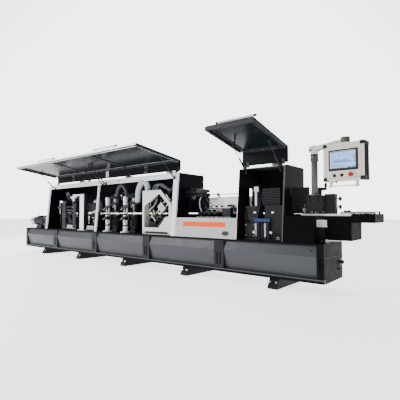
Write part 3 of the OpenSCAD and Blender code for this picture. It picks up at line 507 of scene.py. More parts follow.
def dress(mesh, name, body, keys, bevel):
    """Makes the object: a finish on each face, outward normals, smooth shading, sharp and rounded edges."""
    used = sorted(set(keys))
    mesh.materials.clear()
    for key in used:
        mesh.materials.append(finishes[key])
    mesh.polygons.foreach_set("material_index", [used.index(key) for key in keys])
    bm = bmesh.new()
    bm.from_mesh(mesh)
    bmesh.ops.recalc_face_normals(bm, faces=bm.faces)
    bm.to_mesh(mesh)
    bm.free()
    mesh.polygons.foreach_set("use_smooth", [True] * len(mesh.polygons))
    mesh.set_sharp_from_angle(angle=SHARP_ANGLE)
    obj = bpy.data.objects.new(name, mesh)
    bpy.context.scene.collection.objects.link(obj)
    if bevel:
        rounding = obj.modifiers.new("edge_round", "BEVEL")
        rounding.width = bevel
        rounding.segments = 2
        rounding.limit_method = "ANGLE"
        rounding.angle_limit = EDGE_ANGLE
        rounding.harden_normals = True
    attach(obj, body)
    return obj


def repaint(node, choose, bevel=0.001):
    """Shows a copy of a CAD node's shape; choose(low, high, centre, normal) gives each face its finish.

    low and high are the corners of the loose part that the face belongs to.
    """
    source = nodes[node]
    bm = bmesh.new()
    bm.from_mesh(source.data)
    bmesh.ops.remove_doubles(bm, verts=bm.verts, dist=0.00001)
    bmesh.ops.dissolve_limit(bm, angle_limit=math.radians(0.2), verts=bm.verts, edges=bm.edges)
    bm.faces.ensure_lookup_table()
    bm.faces.index_update()
    keys = [None] * len(bm.faces)
    for seed in bm.faces:
        if keys[seed.index] is not None:
            continue
        keys[seed.index] = ""
        part, queue = [], [seed]
        while queue:
            face = queue.pop()
            part.append(face)
            for edge in face.edges:
                for other in edge.link_faces:
                    if keys[other.index] is None:
                        keys[other.index] = ""
                        queue.append(other)
        corners = [to_base(v.co) for face in part for v in face.verts]
        low = Vector([min(c[i] for c in corners) for i in range(3)])
        high = Vector([max(c[i] for c in corners) for i in range(3)])
        for face in part:
            keys[face.index] = choose(low, high, to_base(face.calc_center_median()), face.normal)
    mesh = bpy.data.meshes.new(node + "_finished")
    bm.to_mesh(mesh)
    bm.free()
    obj = dress(mesh, node + "_finished", source["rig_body"], keys, bevel)
    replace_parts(obj, node)
    return obj


def to_base(point):
    """A point of the frame in millimetres from the middle of the base."""
    return Vector(((point.x - MID_X) * 1000, point.y * 1000, point.z * 1000))


# ---- base ----

DIVIDERS = [-2280, -760, 760, 2280]


def bays():
    """The clear span of each skirt bay."""
    edges = [BASE_X[0] + 85] + [x + s * 82.5 for x in DIVIDERS for s in (-1, 1)] + [BASE_X[1] - 85]
    return list(zip(edges[::2], edges[1::2]))


def make_base():
    def posts(low, high, centre, normal):
        if high.z < 182:
            return "sill"
        # Painted shade: the post sides just behind the front face are painted black for the shade beside each
        # post's front strip, and the last post at the infeed end is painted black for the shade on that end.
        if low.x > 3300 or FRONT + 0.5 < centre.y < FRONT + 13 and centre.z > 200:
            return "black"
        return "skirt_post"

    def panels(low, high, centre, normal):
        # Painted shade: the narrow end pieces of the panels are painted black for the shadow gaps beside the
        # posts, and the infeed-facing faces of the last panel for the shade on that end.
        return "black" if high.x - low.x < 60 or normal.x > 0.7 and low.x > 3000 else "skirt"

    repaint("skirt_posts", posts)
    repaint("skirt_panels", panels)
    trim = Piece("skirt_trim", "machine_frame", "skirt_grey")
    facet = Vector((0, -0.964, 0.266))
    for x0, x1 in bays():
        for x in (x0 + 70, x1 - 70):
            trim.lathe((x, -299.5, 500), facet, [(0, 12), (2.5, 12), (4, 10)], "dark_steel", 24)
            trim.slab(Vector((x, -299.5, 500)) + facet * 4, (7, 0, 0), facet.cross(ALONG) * 1.6,
                      facet * 0.8, "black")
        # louvres and locks in the rear panels
        for middle in (x0 + (x1 - x0) * 0.27, x0 + (x1 - x0) * 0.73):
            for i in range(9):
                z = 260 + i * 24
                trim.prism_x((middle - 90, middle + 90), [(275.5, z + 14), (276, z + 16), (287, z + 3),
                                                          (287, z), (275.5, z)], "skirt")
        for x in (x0 + 60, x1 - 60):
            trim.lathe((x, 276, 520), TO_REAR, [(0, 12), (3, 12), (4, 10)], "dark_steel", 24)
    trim.build()
    deck = Piece("deck_fittings", "machine_frame", "machine_black")
    for x0, x1 in ((-3735, -2760), (-2730, -745), (-735, 595), (1300, 1415)):
        # checker plate strips with their screws
        deck.box((x0, x1), (-314, -266), (585, 587.5), "black")
        for i in range(int((x1 - x0) / 180)):
            deck.lathe((x0 + 60 + i * 180, -290, 587.5), UP, [(0, 6), (2, 5)], "dark_steel", 12)
    for x0, x1 in ((-1957, -1551), (-1172, -877)):
        # lattice guards in front of the cable chains
        deck.box((x0, x1), (-236, -232), (606, 690), "rubber")
        for i in range(int((x1 - x0) / 52) + 1):
            x = x0 + i * 52
            for side in (-1, 1):
                a, b = x, x + side * 78
                if x0 <= b <= x1:
                    deck.slab(((a + b) / 2, -239, 648), (39 * side, 0, 39), (4.2 * side, 0, -4.2),
                              (0, 1.6, 0), "white")
        for z in (606, 690):
            deck.box((x0, x1), (-241, -232), (z - 4, z), "unit")
    deck.build()
    anchors = Piece("foot_anchors", "machine_frame", "bolt_steel")
    first = span("foot_bolts")[0].x + 54.5
    for x in [round(first + i * 1480) for i in range(5)]:
        for side in (-1, 1):
            # raised lifting rib and levelling screw beside the anchor hole
            anchors.slab((x, side * 250, 134), (50, 0, 0), (0, 14, 0), (0, 0, 4), "cast_black")
            for dx in (-42, 42):
                anchors.lathe((x + dx, side * 262, 127), UP, [(0, 9), (3, 9)], "zinc", 16)
    anchors.build()


# ---- feed ----

def make_gearmotor():
    def paint(low, high, centre, normal):
        if high.x < -3415:
            return "motor_silver"
        return "motor"

    repaint("feed_gearmotor", paint)
    parts = Piece("gearmotor_details", "machine_frame", "motor_grey")
    for t in turns(26):
        out = Vector((0, math.cos(t), math.sin(t)))
        parts.slab((-3180, -200 + out.y * 95, 762 + out.z * 95), (205, 0, 0), out * 4,
                   out.cross(ALONG) * 1.8, "motor")
    parts.lathe((-3418, -200, 762), ALONG, [(0, 99), (12, 99), (16, 94)], "motor_silver", 40)
    for r in (22, 40, 58, 76, 90):
        parts.ring((-3560, -200, 762), ALONG, r, 2.4, "motor_silver", 40)
    for t in turns(8):
        out = Vector((0, math.cos(t), math.sin(t)))
        parts.slab(Vector((-3561, -200, 762)) + out * 52, (1.5, 0, 0), out * 40, out.cross(ALONG) * 2,
                   "motor_silver")
    parts.box((-3290, -3150), (-252, -148), (852, 884), "motor")
    parts.box((-3284, -3156), (-246, -154), (884, 890), "unit")
    parts.bolts([(x, y, 890) for x in (-3274, -3166) for y in (-236, -164)], UP, 6)
    parts.bolts([(x, -275, z) for x in (-2925, -2772) for z in (680, 775, 870)], TO_FRONT, 9)
    parts.lathe((-2848, -275, 830), TO_FRONT, [(0, 46), (5, 46), (5.5, 30)], "unit", 36)
    parts.lathe((-2945, -200, 762), (-1, 0, 0), [(0, 105), (14, 105), (16, 96)], "motor", 40)
    parts.build()


def loop_points(x0, x1, z, r, pitch):
    """Evenly spaced places round a two-wheel loop: (x, z, direction along the loop)."""
    straight, arc = x1 - x0, math.pi * r
    total = 2 * (straight + arc)
    count = round(total / pitch)
    for i in range(count):
        s = i * total / count
        if s < straight:
            yield x0 + s, z + r, 0.0
        elif s < straight + arc:
            t = (s - straight) / r
            yield x1 + r * math.sin(t), z + r * math.cos(t), -t
        elif s < 2 * straight + arc:
            yield x1 - (s - straight - arc), z - r, math.pi
        else:
            t = (s - 2 * straight - arc) / r
            yield x0 - r * math.sin(t), z - r * math.cos(t), math.pi - t


def make_feed():
    lo, hi = span("feed_chain")
    x0, x1, z = lo.x + 100, hi.x - 100, (lo.z + hi.z) / 2
    chain = Piece("chain_links", "machine_frame", "chain_steel")
    for x, h, turn in loop_points(x0, x1, z, 91, 60):
        along = Vector((math.cos(turn), 0, math.sin(turn)))
        out = Vector((-math.sin(turn), 0, math.cos(turn)))
        centre = Vector((x, 150, h))
        chain.slab(centre + out * 5, along * 28, (0, 59, 0), out * 3.9, "rubber")
        chain.slab(centre - out * 3, along * 24, (0, 50, 0), out * 4, "steel")
        for y in (-30, 0, 30):
            chain.slab(centre + out * 8.9 + Vector((0, y, 0)), along * 22, (0, 3, 0), out * 0.1,
                       "dark_steel")
    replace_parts(chain.build(0), "feed_chain")
    lo, hi = span("pressure_belt")
    x0, x1, z = lo.x + 65, hi.x - 65, (lo.z + hi.z) / 2
    belt = Piece("ribbed_belt", "pressure_beam", "belt_rubber")
    for x, h, turn in loop_points(x0, x1, z, 60, 34):
        along = Vector((math.cos(turn), 0, math.sin(turn)))
        out = Vector((-math.sin(turn), 0, math.cos(turn)))
        centre = Vector((x, 150, h))
        belt.slab(centre - out * 1.5, along * 17.5, (0, 50, 0), out * 3.4, "rubber")
        belt.slab(centre + out * 3, along * 11, (0, 48, 0), out * 1.9, "rubber")
    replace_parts(belt.build(0), "pressure_belt")
    for node in ("feed_drive_sprocket", "feed_idler_sprocket"):
        lo, hi = span(node)
        x, y, z = (lo.x + hi.x) / 2, hi.y, (lo.z + hi.z) / 2
        hub = Piece(node + "_hub", node, "machined_steel")
        hub.lathe((x, y - 3, z), TO_REAR, [(0, 19), (6, 19), (8, 16)], "steel", 28)
        hub.bolt((x, y + 4, z), TO_REAR, 9)
        hub.slab((x + 9, y + 1, z), (6, 0, 0), (0, 2, 0), (0, 0, 2.5), "dark_steel")
        hub.build()
    for node in ("belt_drive_pulley", "belt_idler_pulley"):
        lo, hi = span(node)
        x, z = (lo.x + hi.x) / 2, (lo.z + hi.z) / 2
        cap = Piece(node + "_caps", node, "machined_steel")
        for y, way in ((lo.y, -1), (hi.y, 1)):
            cap.lathe((x, y, z), (0, way, 0), [(0, 11), (2, 11), (3, 9)], "zinc", 24)
            cap.bolt((x, y + way * 2.5, z), (0, way, 0), 6)
        cap.build()
    beam = Piece("beam_fittings", "pressure_beam", "beam_silver")
    for x0, x1 in ((-2595, 1480), (1520, 1980), (2020, 2425), (2562, 3335)):
        beam.box((x0, x1), (73, 80), (1173, 1185), "steel")
    for x0, x1 in ((-2595, 2438), (2562, 3335)):
        for z0, z1 in ((1128, 1134), (1096, 1102), (1012, 1018), (975, 984)):
            beam.box((x0, x1), (75, 80), (z0, z1), "anodised")
    for i in range(28):
        x = -2500 + i * 212
        if not 2430 < x < 2570:
            beam.bolt((x, 80, 1156), TO_FRONT, 8)
            beam.bolt((x, 80, 1050), TO_FRONT, 8)
        beam.bolt((x, 220, 1156), TO_REAR, 8)
        beam.box((x - 20, x + 20), (100, 200), (1185, 1189), "dark_steel")
    for x in (1500, 2000, 2440):
        beam.lathe((x - 17, 52, 1228), ALONG, [(0, 20), (34, 20)], "dark_steel", 28)
    beam.build()
    bed = Piece("bed_fittings", "machine_frame", "machine_black")
    for i in range(26):
        x = -2750 + i * 240
        bed.bolt((x, 240, 880), TO_REAR, 8)
        bed.bolt((x, 240, 650), TO_REAR, 8)
        bed.box((x - 40, x + 40), (240, 246), (700, 745), "dark_steel")
    bed.box((-2890, 3470), (240, 243), (740, 742), "dark_steel")
    bed.box((-2890, 3470), (236, 240), (924, 927), "dark_steel")
    bed.build()


# ---- hoods ----

def make_hoods():
    def hood(low, high, centre, normal):
        return "lid_rail" if high.x - low.x > 300 and normal.y < -0.1 and low.y < -150 else "hood_brown"

    repaint("small_hood_walls", hood)
    trim = Piece("hood_trim", "machine_frame", "hood_black")
    # access panels and vents in the rear wall
    for i in range(3):
        x0 = -2640 + i * 1345
        trim.box((x0, x0 + 1230), (400, 403), (1110, 1540), "hood_dark")
        for x in (x0 + 40, x0 + 1190):
            for z in (1140, 1325, 1510):
                trim.lathe((x, 403, z), TO_REAR, [(0, 9), (2.5, 9), (3.5, 7)], "dark_steel", 20)
        for j in range(8):
            z = 1180 + j * 26
            trim.prism_x((x0 + 480, x0 + 750), [(402.5, z + 15), (408, z + 4), (408, z), (402.5, z)],
                         "hood_dark")
    trim.box((2600, 3220), (345, 348), (1310, 1535), "hood_brown")
    for x in (2620, 3200):
        for z in (1330, 1515):
            trim.lathe((x, 348, z), TO_REAR, [(0, 9), (2.5, 9), (3.5, 7)], "dark_steel", 20)
    # bright slot plate, cable entry and belt guard on the infeed wall of the main hood
    trim.box((1424, 1430), (212, 236), (1080, 1168), "white")
    trim.box((1424, 1434), (-60, 70), (1205, 1330), "dark_steel")
    trim.build()
    edges = Piece("small_hood_edges", "machine_frame", "small_hood")
    lean = (1535 - 585) / 85

    def front(z):
        return FRONT + (z - 585) / lean

    for x, z1, key in (((2566, 2573), 1165, "white"), ((3234, 3246.6), 1533, "post_grey")):
        edges.prism_x(x, [(front(588) - 1, 588), (front(z1) - 1, z1), (front(z1) + 22, z1),
                          (front(588) + 22, 588)], key)
    edges.prism_x((2573, 2580), [(front(588) - 1, 588), (front(1533) - 1, 1533), (front(1533) + 18, 1533),
                                 (front(588) + 18, 588)], "hood_dark")
    edges.build()
    stub = Piece("extraction_stubs", "machine_frame", "hood_black")
    for x, top in ((-1900, 1586), (-250, 1586), (900, 1586), (2960, 1555)):
        stub.lathe((x, 120, top), UP, [(0, 92), (5, 92), (6, 74), (76, 74), (78, 76), (84, 76)],
                   "motor_silver", 40)
        stub.lathe((x, 120, top + 84.5), UP, [(0, 70), (1, 69)], "black", 36)
        stub.bolts([on_circle(x, 120, top + 5, 83, t) for t in turns(8)], UP, 5)
    stub.build()


def make_cover():
    lean = 24 / 287
    cover = Piece("cover_markings", "machine_frame", "cover_grey")

    def face(z, out=0.0):
        return FRONT + (z - 585) * lean - out

    def panel(x, z, out, key):
        cover.prism_x(x, [(face(z[0], out), z[0]), (face(z[1], out), z[1]), (face(z[1], -1), z[1]),
                          (face(z[0], -1), z[0])], key)

    panel((1590, 2385), (742, 812), 0.8, "orange")
    axis = Vector((0, -1, lean))
    cover.ring((1490, face(784, 0), 784), axis, 36, 3.2, "motor_silver", 40)
    cover.ring((1490, face(784, 0), 784), axis, 20, 2.4, "motor_silver", 32)
    oval = [(2388 + 57 * math.cos(t), 657 + 30 * math.sin(t)) for t in turns(36)]
    cover.loft([[(x, face(z, out), z) for x, z in oval] for out in (-1, 2.5)], "badge")
    rim = [[(2388 + r * math.cos(t), face(657 + (r - 27) * math.sin(t), out),
             657 + (r - 27) * math.sin(t)) for t in turns(36)] for r,
           out in ((57, 2), (60, 2), (60, 3.4), (57, 3.4))]
    cover.loft(rim, "dark_steel", closed=True)
    for x in (1450, 2545):
        for z in (620, 840):
            cover.lathe((x, face(z), z), axis, [(0, 8), (2, 8), (3, 6)], "zinc", 20)
    cover.box((1428, 2570), (-238, -232), (872, 878), "rubber")
    cover.build()


# ---- lids ----

def lid_place(corner, tilt):
    """Lid space: x along the machine, y = 0 at the rear edge, z = 0 on the outer face."""
    return Matrix.Translation((0, corner[0], corner[1])) @ Matrix.Rotation(math.radians(-tilt), 4, "X")


def make_lid(name, x, length, corner, tilt, count):
    shell_node, trim_node = name + "_shell", name + "_trim"
    place = lid_place(corner, tilt)
    up = place.to_3x3() @ Vector(UP)

    def shell(low, high, centre, normal):
        if normal.dot(up) < -0.6:
            return "lid_inner"
        if normal.y < -0.6 and centre.y > corner[0] - 60:
            return "lid_rail" if high.z - low.z < 60 else "lid_inner"
        if abs(normal.x) > 0.6:
            return "black"
        return "white" if name == "main_lid" else "lid_rail"

    def trim(low, high, centre, normal):
        if high.y < corner[0] - length * 0.9 or high.x - low.x < 6 and high.y - low.y > 500:
            return "white" if name == "main_lid" and abs(normal.x) < 0.6 else "lid_rail"
        return "lid_rail" if high.x - low.x > 200 else "dark_steel"

    repaint(shell_node, shell)
    repaint(trim_node, trim)
    width = (x[1] - x[0] - 120 - (count - 1) * 40) / count
    seals = Piece(name + "_window_seals", name, "window_tint", place)
    for i in range(count):
        x0 = x[0] + 60 + i * (width + 40)
        x1, y0, y1 = x0 + width, -length + 70, -90
        for z in ((0, 2.5), (-22.5, -20)):
            seals.box((x0 - 14, x1 + 14), (y0 - 14, y0 + 6), z, "window_edge")
            seals.box((x0 - 14, x1 + 14), (y1 - 6, y1 + 14), z, "window_edge")
            seals.box((x0 - 14, x0 + 6), (y0 + 6, y1 - 6), z, "window_edge")
            seals.box((x1 - 6, x1 + 14), (y0 + 6, y1 - 6), z, "window_edge")
    seals.build()
    fittings = Piece(name + "_fittings", name, "anodised", place)
    fittings.box((x[0] + 8, x[1] - 8), (-34, -30), (-40, -20.5), "lid_rail")
    fittings.box((x[0], x[1]), (-length - 16, -length - 14), (-50, -30), "window_edge")
    for i in range(count * 4 + 1):
        bx = x[0] + 30 + i * (x[1] - x[0] - 60) / (count * 4)
        fittings.lathe((bx, -45, -26), (0, 0, -1), [(0, 6), (2, 6), (3, 4)], "zinc", 16)
        fittings.lathe((bx, -length + 30, 0), UP, [(0, 6), (2, 5)], "zinc", 16)
    fittings.build()


def make_handles():
    for node, centres, size in (("main_lid_handles", (-1290, 604), 540), ("small_lid_handle", (2967.5,), 500)):
        def paint(low, high, centre, normal):
            return "plastic" if min(abs(centre.x - c) for c in centres) > size / 2 - 1 else "white"

        repaint(node, paint)


def make_lids():
    make_lid("main_lid", (-2450, 1424), 920, (-177, 1790), 8.3, 3)
    make_lid("small_lid", (2573, 3246), 858, (-132, 1796), 12.6, 1)
    make_handles()
    arms = Piece("main_lid_hinge_arms", "main_lid", "lid_white")
    for x, key in ((-515, "white"), (-1750, "lid_rail"), (620, "lid_rail")):
        arms.box((x - 40, x + 40), (-206, -199), (1632, 1764), key)
        arms.box((x - 7, x + 7), (-208, -206), (1650, 1745), "black")
        arms.bolts([(x + dx, -206, z) for dx in (-28, 28) for z in (1650, 1745)], TO_FRONT, 7)
    arms.build()
# ---- processing units ----

def make_trim_units():
    def paint(low, high, centre, normal):
        size = high - low
        if low.x > -1400 and high.x < -1230:
            return "unit" if abs(normal.x) > 0.5 or normal.y > 0.5 else "white"
        if size.z < 25 and size.x > 170:
            return "white" if size.y > 100 else "unit"
        if 70 < size.x < 200 and size.z > 500:
            return "white"
        if high.x < -900:
            return "hose_grey" if size.z > 200 else "unit"
        return "cast_black" if size.z < 80 else "motor"

    repaint("trim_units", paint)
    parts = Piece("trim_unit_details", "machine_frame", "unit_white")
    low, high = span("rough_trim_cutters"), span("fine_trim_cutters")
    for cutters in (low, high):
        x = (cutters[0].x + cutters[1].x) / 2
        # flange bolts, collars and marks on the column
        for t in turns(8):
            parts.bolt(on_circle(x, -215, 603, 72, t), UP, 7)
        parts.lathe((x, TRIM_Y, 603), UP, [(0, 58), (8, 52), (22, 44)], "white", 36)
        for z, key in ((962, "cast_black"), (905, "rubber"), (700, "unit"), (1065, "dark_steel")):
            parts.lathe((x, TRIM_Y, z), UP, [(0, 45), (2, 47.5), (24, 47.5), (26, 45)], key, 36)
        for z in range(640, 780, 34):
            parts.lathe((x, -256, z), TO_FRONT, [(0, 7), (2.5, 6)], "dark_steel", 16)
        # clamp handles with white knobs
        for z in (848, 1030):
            parts.bolts([(x + dx, -267, z) for dx in (-40, 40)], TO_FRONT, 8)
            parts.rod((x - 55, -235, z), (x - 96, -262, z - 26), 5, "chrome", 12)
            parts.ball((x - 101, -265, z - 29), 12, "plastic")
        parts.rod((x - 56, -240, 936), (x - 150, -240, 936), 6, "chrome", 12)
        parts.lathe((x - 150, -240, 936), (-1, 0, 0), [(0, 10), (6, 17), (26, 19), (32, 15)], "white", 24)
        # motors that hang beside the column, with their plates
        parts.motor((x + 165, -130, 1000), (x + 165, -130, 1222), 62, "motor", "motor_silver")
        parts.motor((x + 165, -130, 880), (x + 165, -130, 640), 60, "motor", "motor")
        parts.box((x + 95, x + 235), (-200, -60), (975, 1000), "dark_steel")
        parts.box((x + 95, x + 235), (-200, -60), (880, 902), "dark_steel")
        parts.box((x + 120, x + 210), (-210, -185), (1040, 1160), "motor")
        parts.box((x + 100, x + 240), (-190, -70), (586, 640), "unit")
        parts.air_cylinder((x + 80, -235, 905), (x + 80, -235, 1120), 19, "motor_silver")
        parts.air_cylinder((x + 250, -225, 1110), (x + 250, -225, 930), 16, "hose_grey")
        for i, z in enumerate((1150, 1090, 1060)):
            parts.lathe((x + 262 - i * 30, -232, z), TO_FRONT, [(0, 12), (10, 12), (14, 7)], "motor_silver",
                        18)
        # copying wheels
        for z in (874, 1006):
            parts.lathe((x - 62, 4, z - 7), UP, [(0, 19), (2, 21), (12, 21), (14, 19)], "steel", 28)
            parts.box((x - 72, x + 4), (-62, -52), (z - 9, z + 9), "dark_steel")
            parts.box((x - 72, x - 52), (-60, 2), (z - 9, z - 7.2), "dark_steel")
        # air lines
        parts.tube([(x + 80, -240, 1120), (x + 92, -262, 1190), (x + 150, -250, 1262),
                    (x + 210, -160, 1300)], 5, "air_blue")
        parts.tube([(x + 80, -248, 905), (x + 60, -285, 860), (x + 88, -280, 760), (x + 140, -240, 690)], 5,
                   "air_black")
        parts.tube([(x + 150, -205, 1150), (x + 110, -250, 1080), (x + 130, -262, 960),
                    (x + 120, -240, 820)], 7, "air_black")
        parts.tube([(x + 190, -205, 1060), (x + 232, -252, 1010), (x + 222, -255, 880),
                    (x + 250, -215, 720)], 8, "rubber")
    parts.build()


def make_corner_unit():
    parts = Piece("corner_unit_details", "machine_frame", "unit_white")
    parts.box((-1452, -1192), (-276, -150), (585, 603), "white")
    parts.bolts([(x, -266, 603) for x in (-1436, -1410, -1236, -1208)], UP, 8)
    for i in range(9):
        parts.lathe((-1440 + i * 29, -276, 594), TO_FRONT, [(0, 5), (1.5, 4)], "dark_steel", 12)
    parts.box((-1388, -1240), (-264, -262), (640, 900), "white")
    parts.box((-1388, -1240), (-264, -262), (930, 1310), "white")
    parts.bolts([(x, -264, z) for x in (-1376, -1252) for z in (655, 885, 945, 1295)], TO_FRONT, 5)
    # arm with a clevis and a cross-shaped valve at its end
    parts.box((-1690, -1389), (-248, -222), (1308, 1342), "white")
    parts.box((-1690, -1389), (-248, -222), (1262, 1276), "unit")
    parts.box((-1690, -1662), (-254, -216), (1222, 1342), "white")
    parts.rod((-1775, -235, 1284), (-1560, -235, 1284), 17, "white", 24)
    parts.rod((-1664, -235, 1300), (-1664, -235, 1206), 21, "white", 24)
    parts.lathe((-1782, -235, 1284), ALONG, [(0, 20), (14, 23), (20, 17)], "white", 24)
    parts.lathe((-1664, -235, 1198), UP, [(0, 14), (8, 26), (16, 20)], "white", 24)
    parts.ball((-1664, -235, 1290), 24, "white")
    parts.tube([(-1560, -235, 1284), (-1500, -232, 1276), (-1470, -225, 1210), (-1455, -215, 1120)], 7,
               "air_black")
    # round unit on a white bar, with its gearbox and guide wheel below
    for z in (975, 1160):
        parts.lathe((-1010, -80, z), UP, [(0, 86), (3, 90), (20, 90), (23, 86)], "motor_silver", 44)
    for t in turns(22):
        out = out_at(t)
        parts.slab(Vector((-1010, -80, 1080)) + out * 87, out * 4, out.cross(UP) * 2, (0, 0, 74),
                   "motor_silver")
    parts.lathe((-1010, -80, 1195), UP, [(0, 80), (10, 74), (34, 40), (38, 20)], "motor_silver", 36)
    parts.box((-1156, -892), (-196, -166), (952, 966), "white")
    parts.box((-1120, -920), (-170, -10), (905, 950), "dark_steel")
    parts.motor((-1060, -120, 900), (-1060, -120, 700), 52, "motor", "unit")
    parts.air_cylinder((-930, -190, 700), (-930, -190, 900), 20, "hose_grey")
    parts.air_cylinder((-1150, -190, 900), (-1150, -190, 720), 16, "motor_silver")
    parts.box((-1170, -900), (-200, -40), (640, 668), "unit")
    parts.box((-1120, -950), (-180, -60), (587, 640), "cast_black")
    parts.lathe((-985, -10, 925), UP, [(0, 30), (2, 34), (18, 34), (20, 30)], "steel", 32)
    for i, (x, z) in enumerate(((-1100, 860), (-1040, 885), (-985, 850), (-960, 780), (-1110, 770))):
        parts.lathe((x, -200, z), TO_FRONT, [(0, 13), (8, 13), (11, 8)],
                    ("motor_silver", "unit", "white")[i % 3], 18)
    parts.tube([(-1010, -166, 1150), (-1060, -222, 1120), (-1150, -215, 1040), (-1180, -180, 930),
                (-1140, -150, 800)], 9, "rubber")
    parts.tube([(-930, -195, 890), (-890, -225, 860), (-900, -220, 760), (-960, -200, 690)], 5, "air_blue")
    parts.lathe((-1549, -225, 920), UP, [(0, 12), (5, 17), (32, 17), (40, 10)], "white", 24)
    parts.rod((-1549, -225, 860), (-1549, -225, 922), 6, "chrome", 12)
    parts.build()


def make_finishing_units():
    def paint(low, high, centre, normal):
        return "unit" if high.z - low.z > 500 and high.x < -1900 else "motor"

    repaint("finishing_units", paint)
    parts = Piece("finishing_details", "machine_frame", "motor_grey")
    parts.box((-2118, -1982), (-254, -250), (620, 880), "unit")
    parts.box((-2118, -1982), (-254, -250), (905, 1190), "unit")
    parts.bolts([(x, -254, z) for x in (-2106, -1994) for z in (635, 865, 920, 1175)], TO_FRONT, 6)
    parts.lathe((-2050, -31, 1215), UP, [(0, 50), (14, 50), (18, 42)], "motor", 32)
    for x, z0, z1 in ((-2050, 690, 850), (-2050, 1030, 1190)):
        for t in turns(18):
            out = out_at(t)
            parts.slab((x + out.x * 52, -31 + out.y * 52, (z0 + z1) / 2), out * 3, out.cross(UP) * 1.4,
                       (0, 0, (z1 - z0) / 2 - 8), "motor")
    parts.motor((-1900, -190, 760), (-1760, -190, 760), 48, "motor", "unit")
    parts.air_cylinder((-1930, -230, 1080), (-1720, -230, 1080), 18, "unit")
    parts.air_cylinder((-1930, -230, 1010), (-1720, -230, 1010), 15, "hose_dark")
    parts.box((-1960, -1730), (-220, -190), (925, 980), "cast_black")
    parts.box((-1972, -1722), (-250, -240), (690, 712), "unit")
    for i in range(4):
        parts.box((-1945 + i * 52, -1905 + i * 52), (-235, -219), (935, 972), "motor")
        parts.lathe((-1925 + i * 52, -235, 955), TO_FRONT, [(0, 6), (6, 6)], "zinc", 14)
        parts.tube([(-1925 + i * 52, -241, 955), (-1920 + i * 50, -262, 900), (-1900 + i * 40, -250, 840),
                    (-1880 + i * 40, -225, 790)], 4, "air_blue" if i % 2 else "air_black")
    # scraper heads with their adjusting spindles
    for z in (860, 1035):
        parts.lathe((-1640, -121, z), TO_FRONT, [(0, 30), (10, 30), (12, 24)], "dark_steel", 28)
        parts.bolts([(-1640 + dx, 10, z + dz) for dx in (-34, 34) for dz in (-30, 30)], TO_REAR, 6)
    parts.lathe((-1640, -180, 1150), UP, [(0, 22), (30, 22), (34, 30), (52, 30), (56, 24)], "cast_black",
                30)
    parts.box((-1702, -1578), (-244, -240), (620, 1120), "motor")
    for i in range(14):
        parts.box((-1692, -1588), (-247, -244), (650 + i * 32, 664 + i * 32), "unit")
    parts.tube([(-2050, -80, 1210), (-2080, -150, 1330), (-1960, -200, 1390), (-1830, -180, 1260),
                (-1800, -150, 1100)], 24, "hose_dark", 14, 16)
    # stitched rings of the buffing wheels ride with them
    parts.build()
    wheels = Piece("buff_stitching", "buffing_wheels", "buff_cloth")
    lo, hi = span("buffing_wheels")
    x, y = (lo.x + hi.x) / 2, (lo.y + hi.y) / 2
    for z0, z1 in ((880, 915), (965, 1000)):
        for i in range(7):
            z = z0 + 2.5 + i * (z1 - z0 - 5) / 6
            wheels.ring((x, y, z), UP, 69.5, 2.4, "buff", 48)
        for z, way in ((z0, -1), (z1, 1)):
            for r in (30, 45, 58):
                wheels.ring((x, y, z), (0, 0, way), r, 0.9, "rubber", 40)
            wheels.lathe((x, y, z), (0, 0, way), [(0, 24), (3, 24), (4, 20)], "steel", 24)
    wheels.build(0)


def make_hoses():
    hoses = Piece("dust_hoses", "machine_frame", "unit_grey")
    hoses.tube([(-255, -140, 1150), (-252, -150, 1260), (-215, -158, 1400), (-120, -150, 1468),
                (-25, -140, 1395), (12, -130, 1260), (10, -120, 1120)], 36, "hose_dark", 16, 22)
    hoses.tube([(360, -170, 1130), (385, -185, 1215), (420, -198, 1350), (500, -205, 1470),
                (575, -200, 1492), (640, -190, 1430), (650, -180, 1300), (650, -170, 1180)], 47,
               "hose_light", 18, 26)
    for (x, y, z) in ((-255, -140, 1120), (10, -120, 1090), (360, -170, 1100), (650, -170, 1150)):
        hoses.lathe((x, y, z), UP, [(0, 52), (4, 54), (34, 54), (38, 50)], "dark_steel", 30)
    for x, z in ((-306, 1292), (-119, 1277)):
        hoses.ball((x, -160, z), 17, "white")
        hoses.rod((x, -160, z), (x + 20, -150, z - 90), 5, "chrome", 12)
    # cable duct and lines along the inside of the hood
    hoses.box((-2700, 1390), (300, 360), (1300, 1360), "hood_dark")
    for i in range(20):
        hoses.box((-2660 + i * 205, -2640 + i * 205), (296, 300), (1306, 1354), "unit")
    for i, (x, y) in enumerate(((-1850, -60), (-1090, -40), (-300, -110), (250, -90), (700, -120),
                                (1200, -100))):
        hoses.tube([(x, 300, 1330), (x + 20, 180, 1310), (x + 30, 60, 1350), (x + 10, y, 1300),
                    (x, y, 1215)], (7, 9, 8)[i % 3], ("air_black", "rubber", "hose_grey")[i % 3])
    for i in range(4):
        x = 700 + i * 38
        hoses.tube([(x, -120, 1250), (x + 4, -125, 1360), (x + 30, -60, 1450), (x + 60, 120, 1380),
                    (x + 70, 298, 1330)], 5, "air_white")
    hoses.build(0)


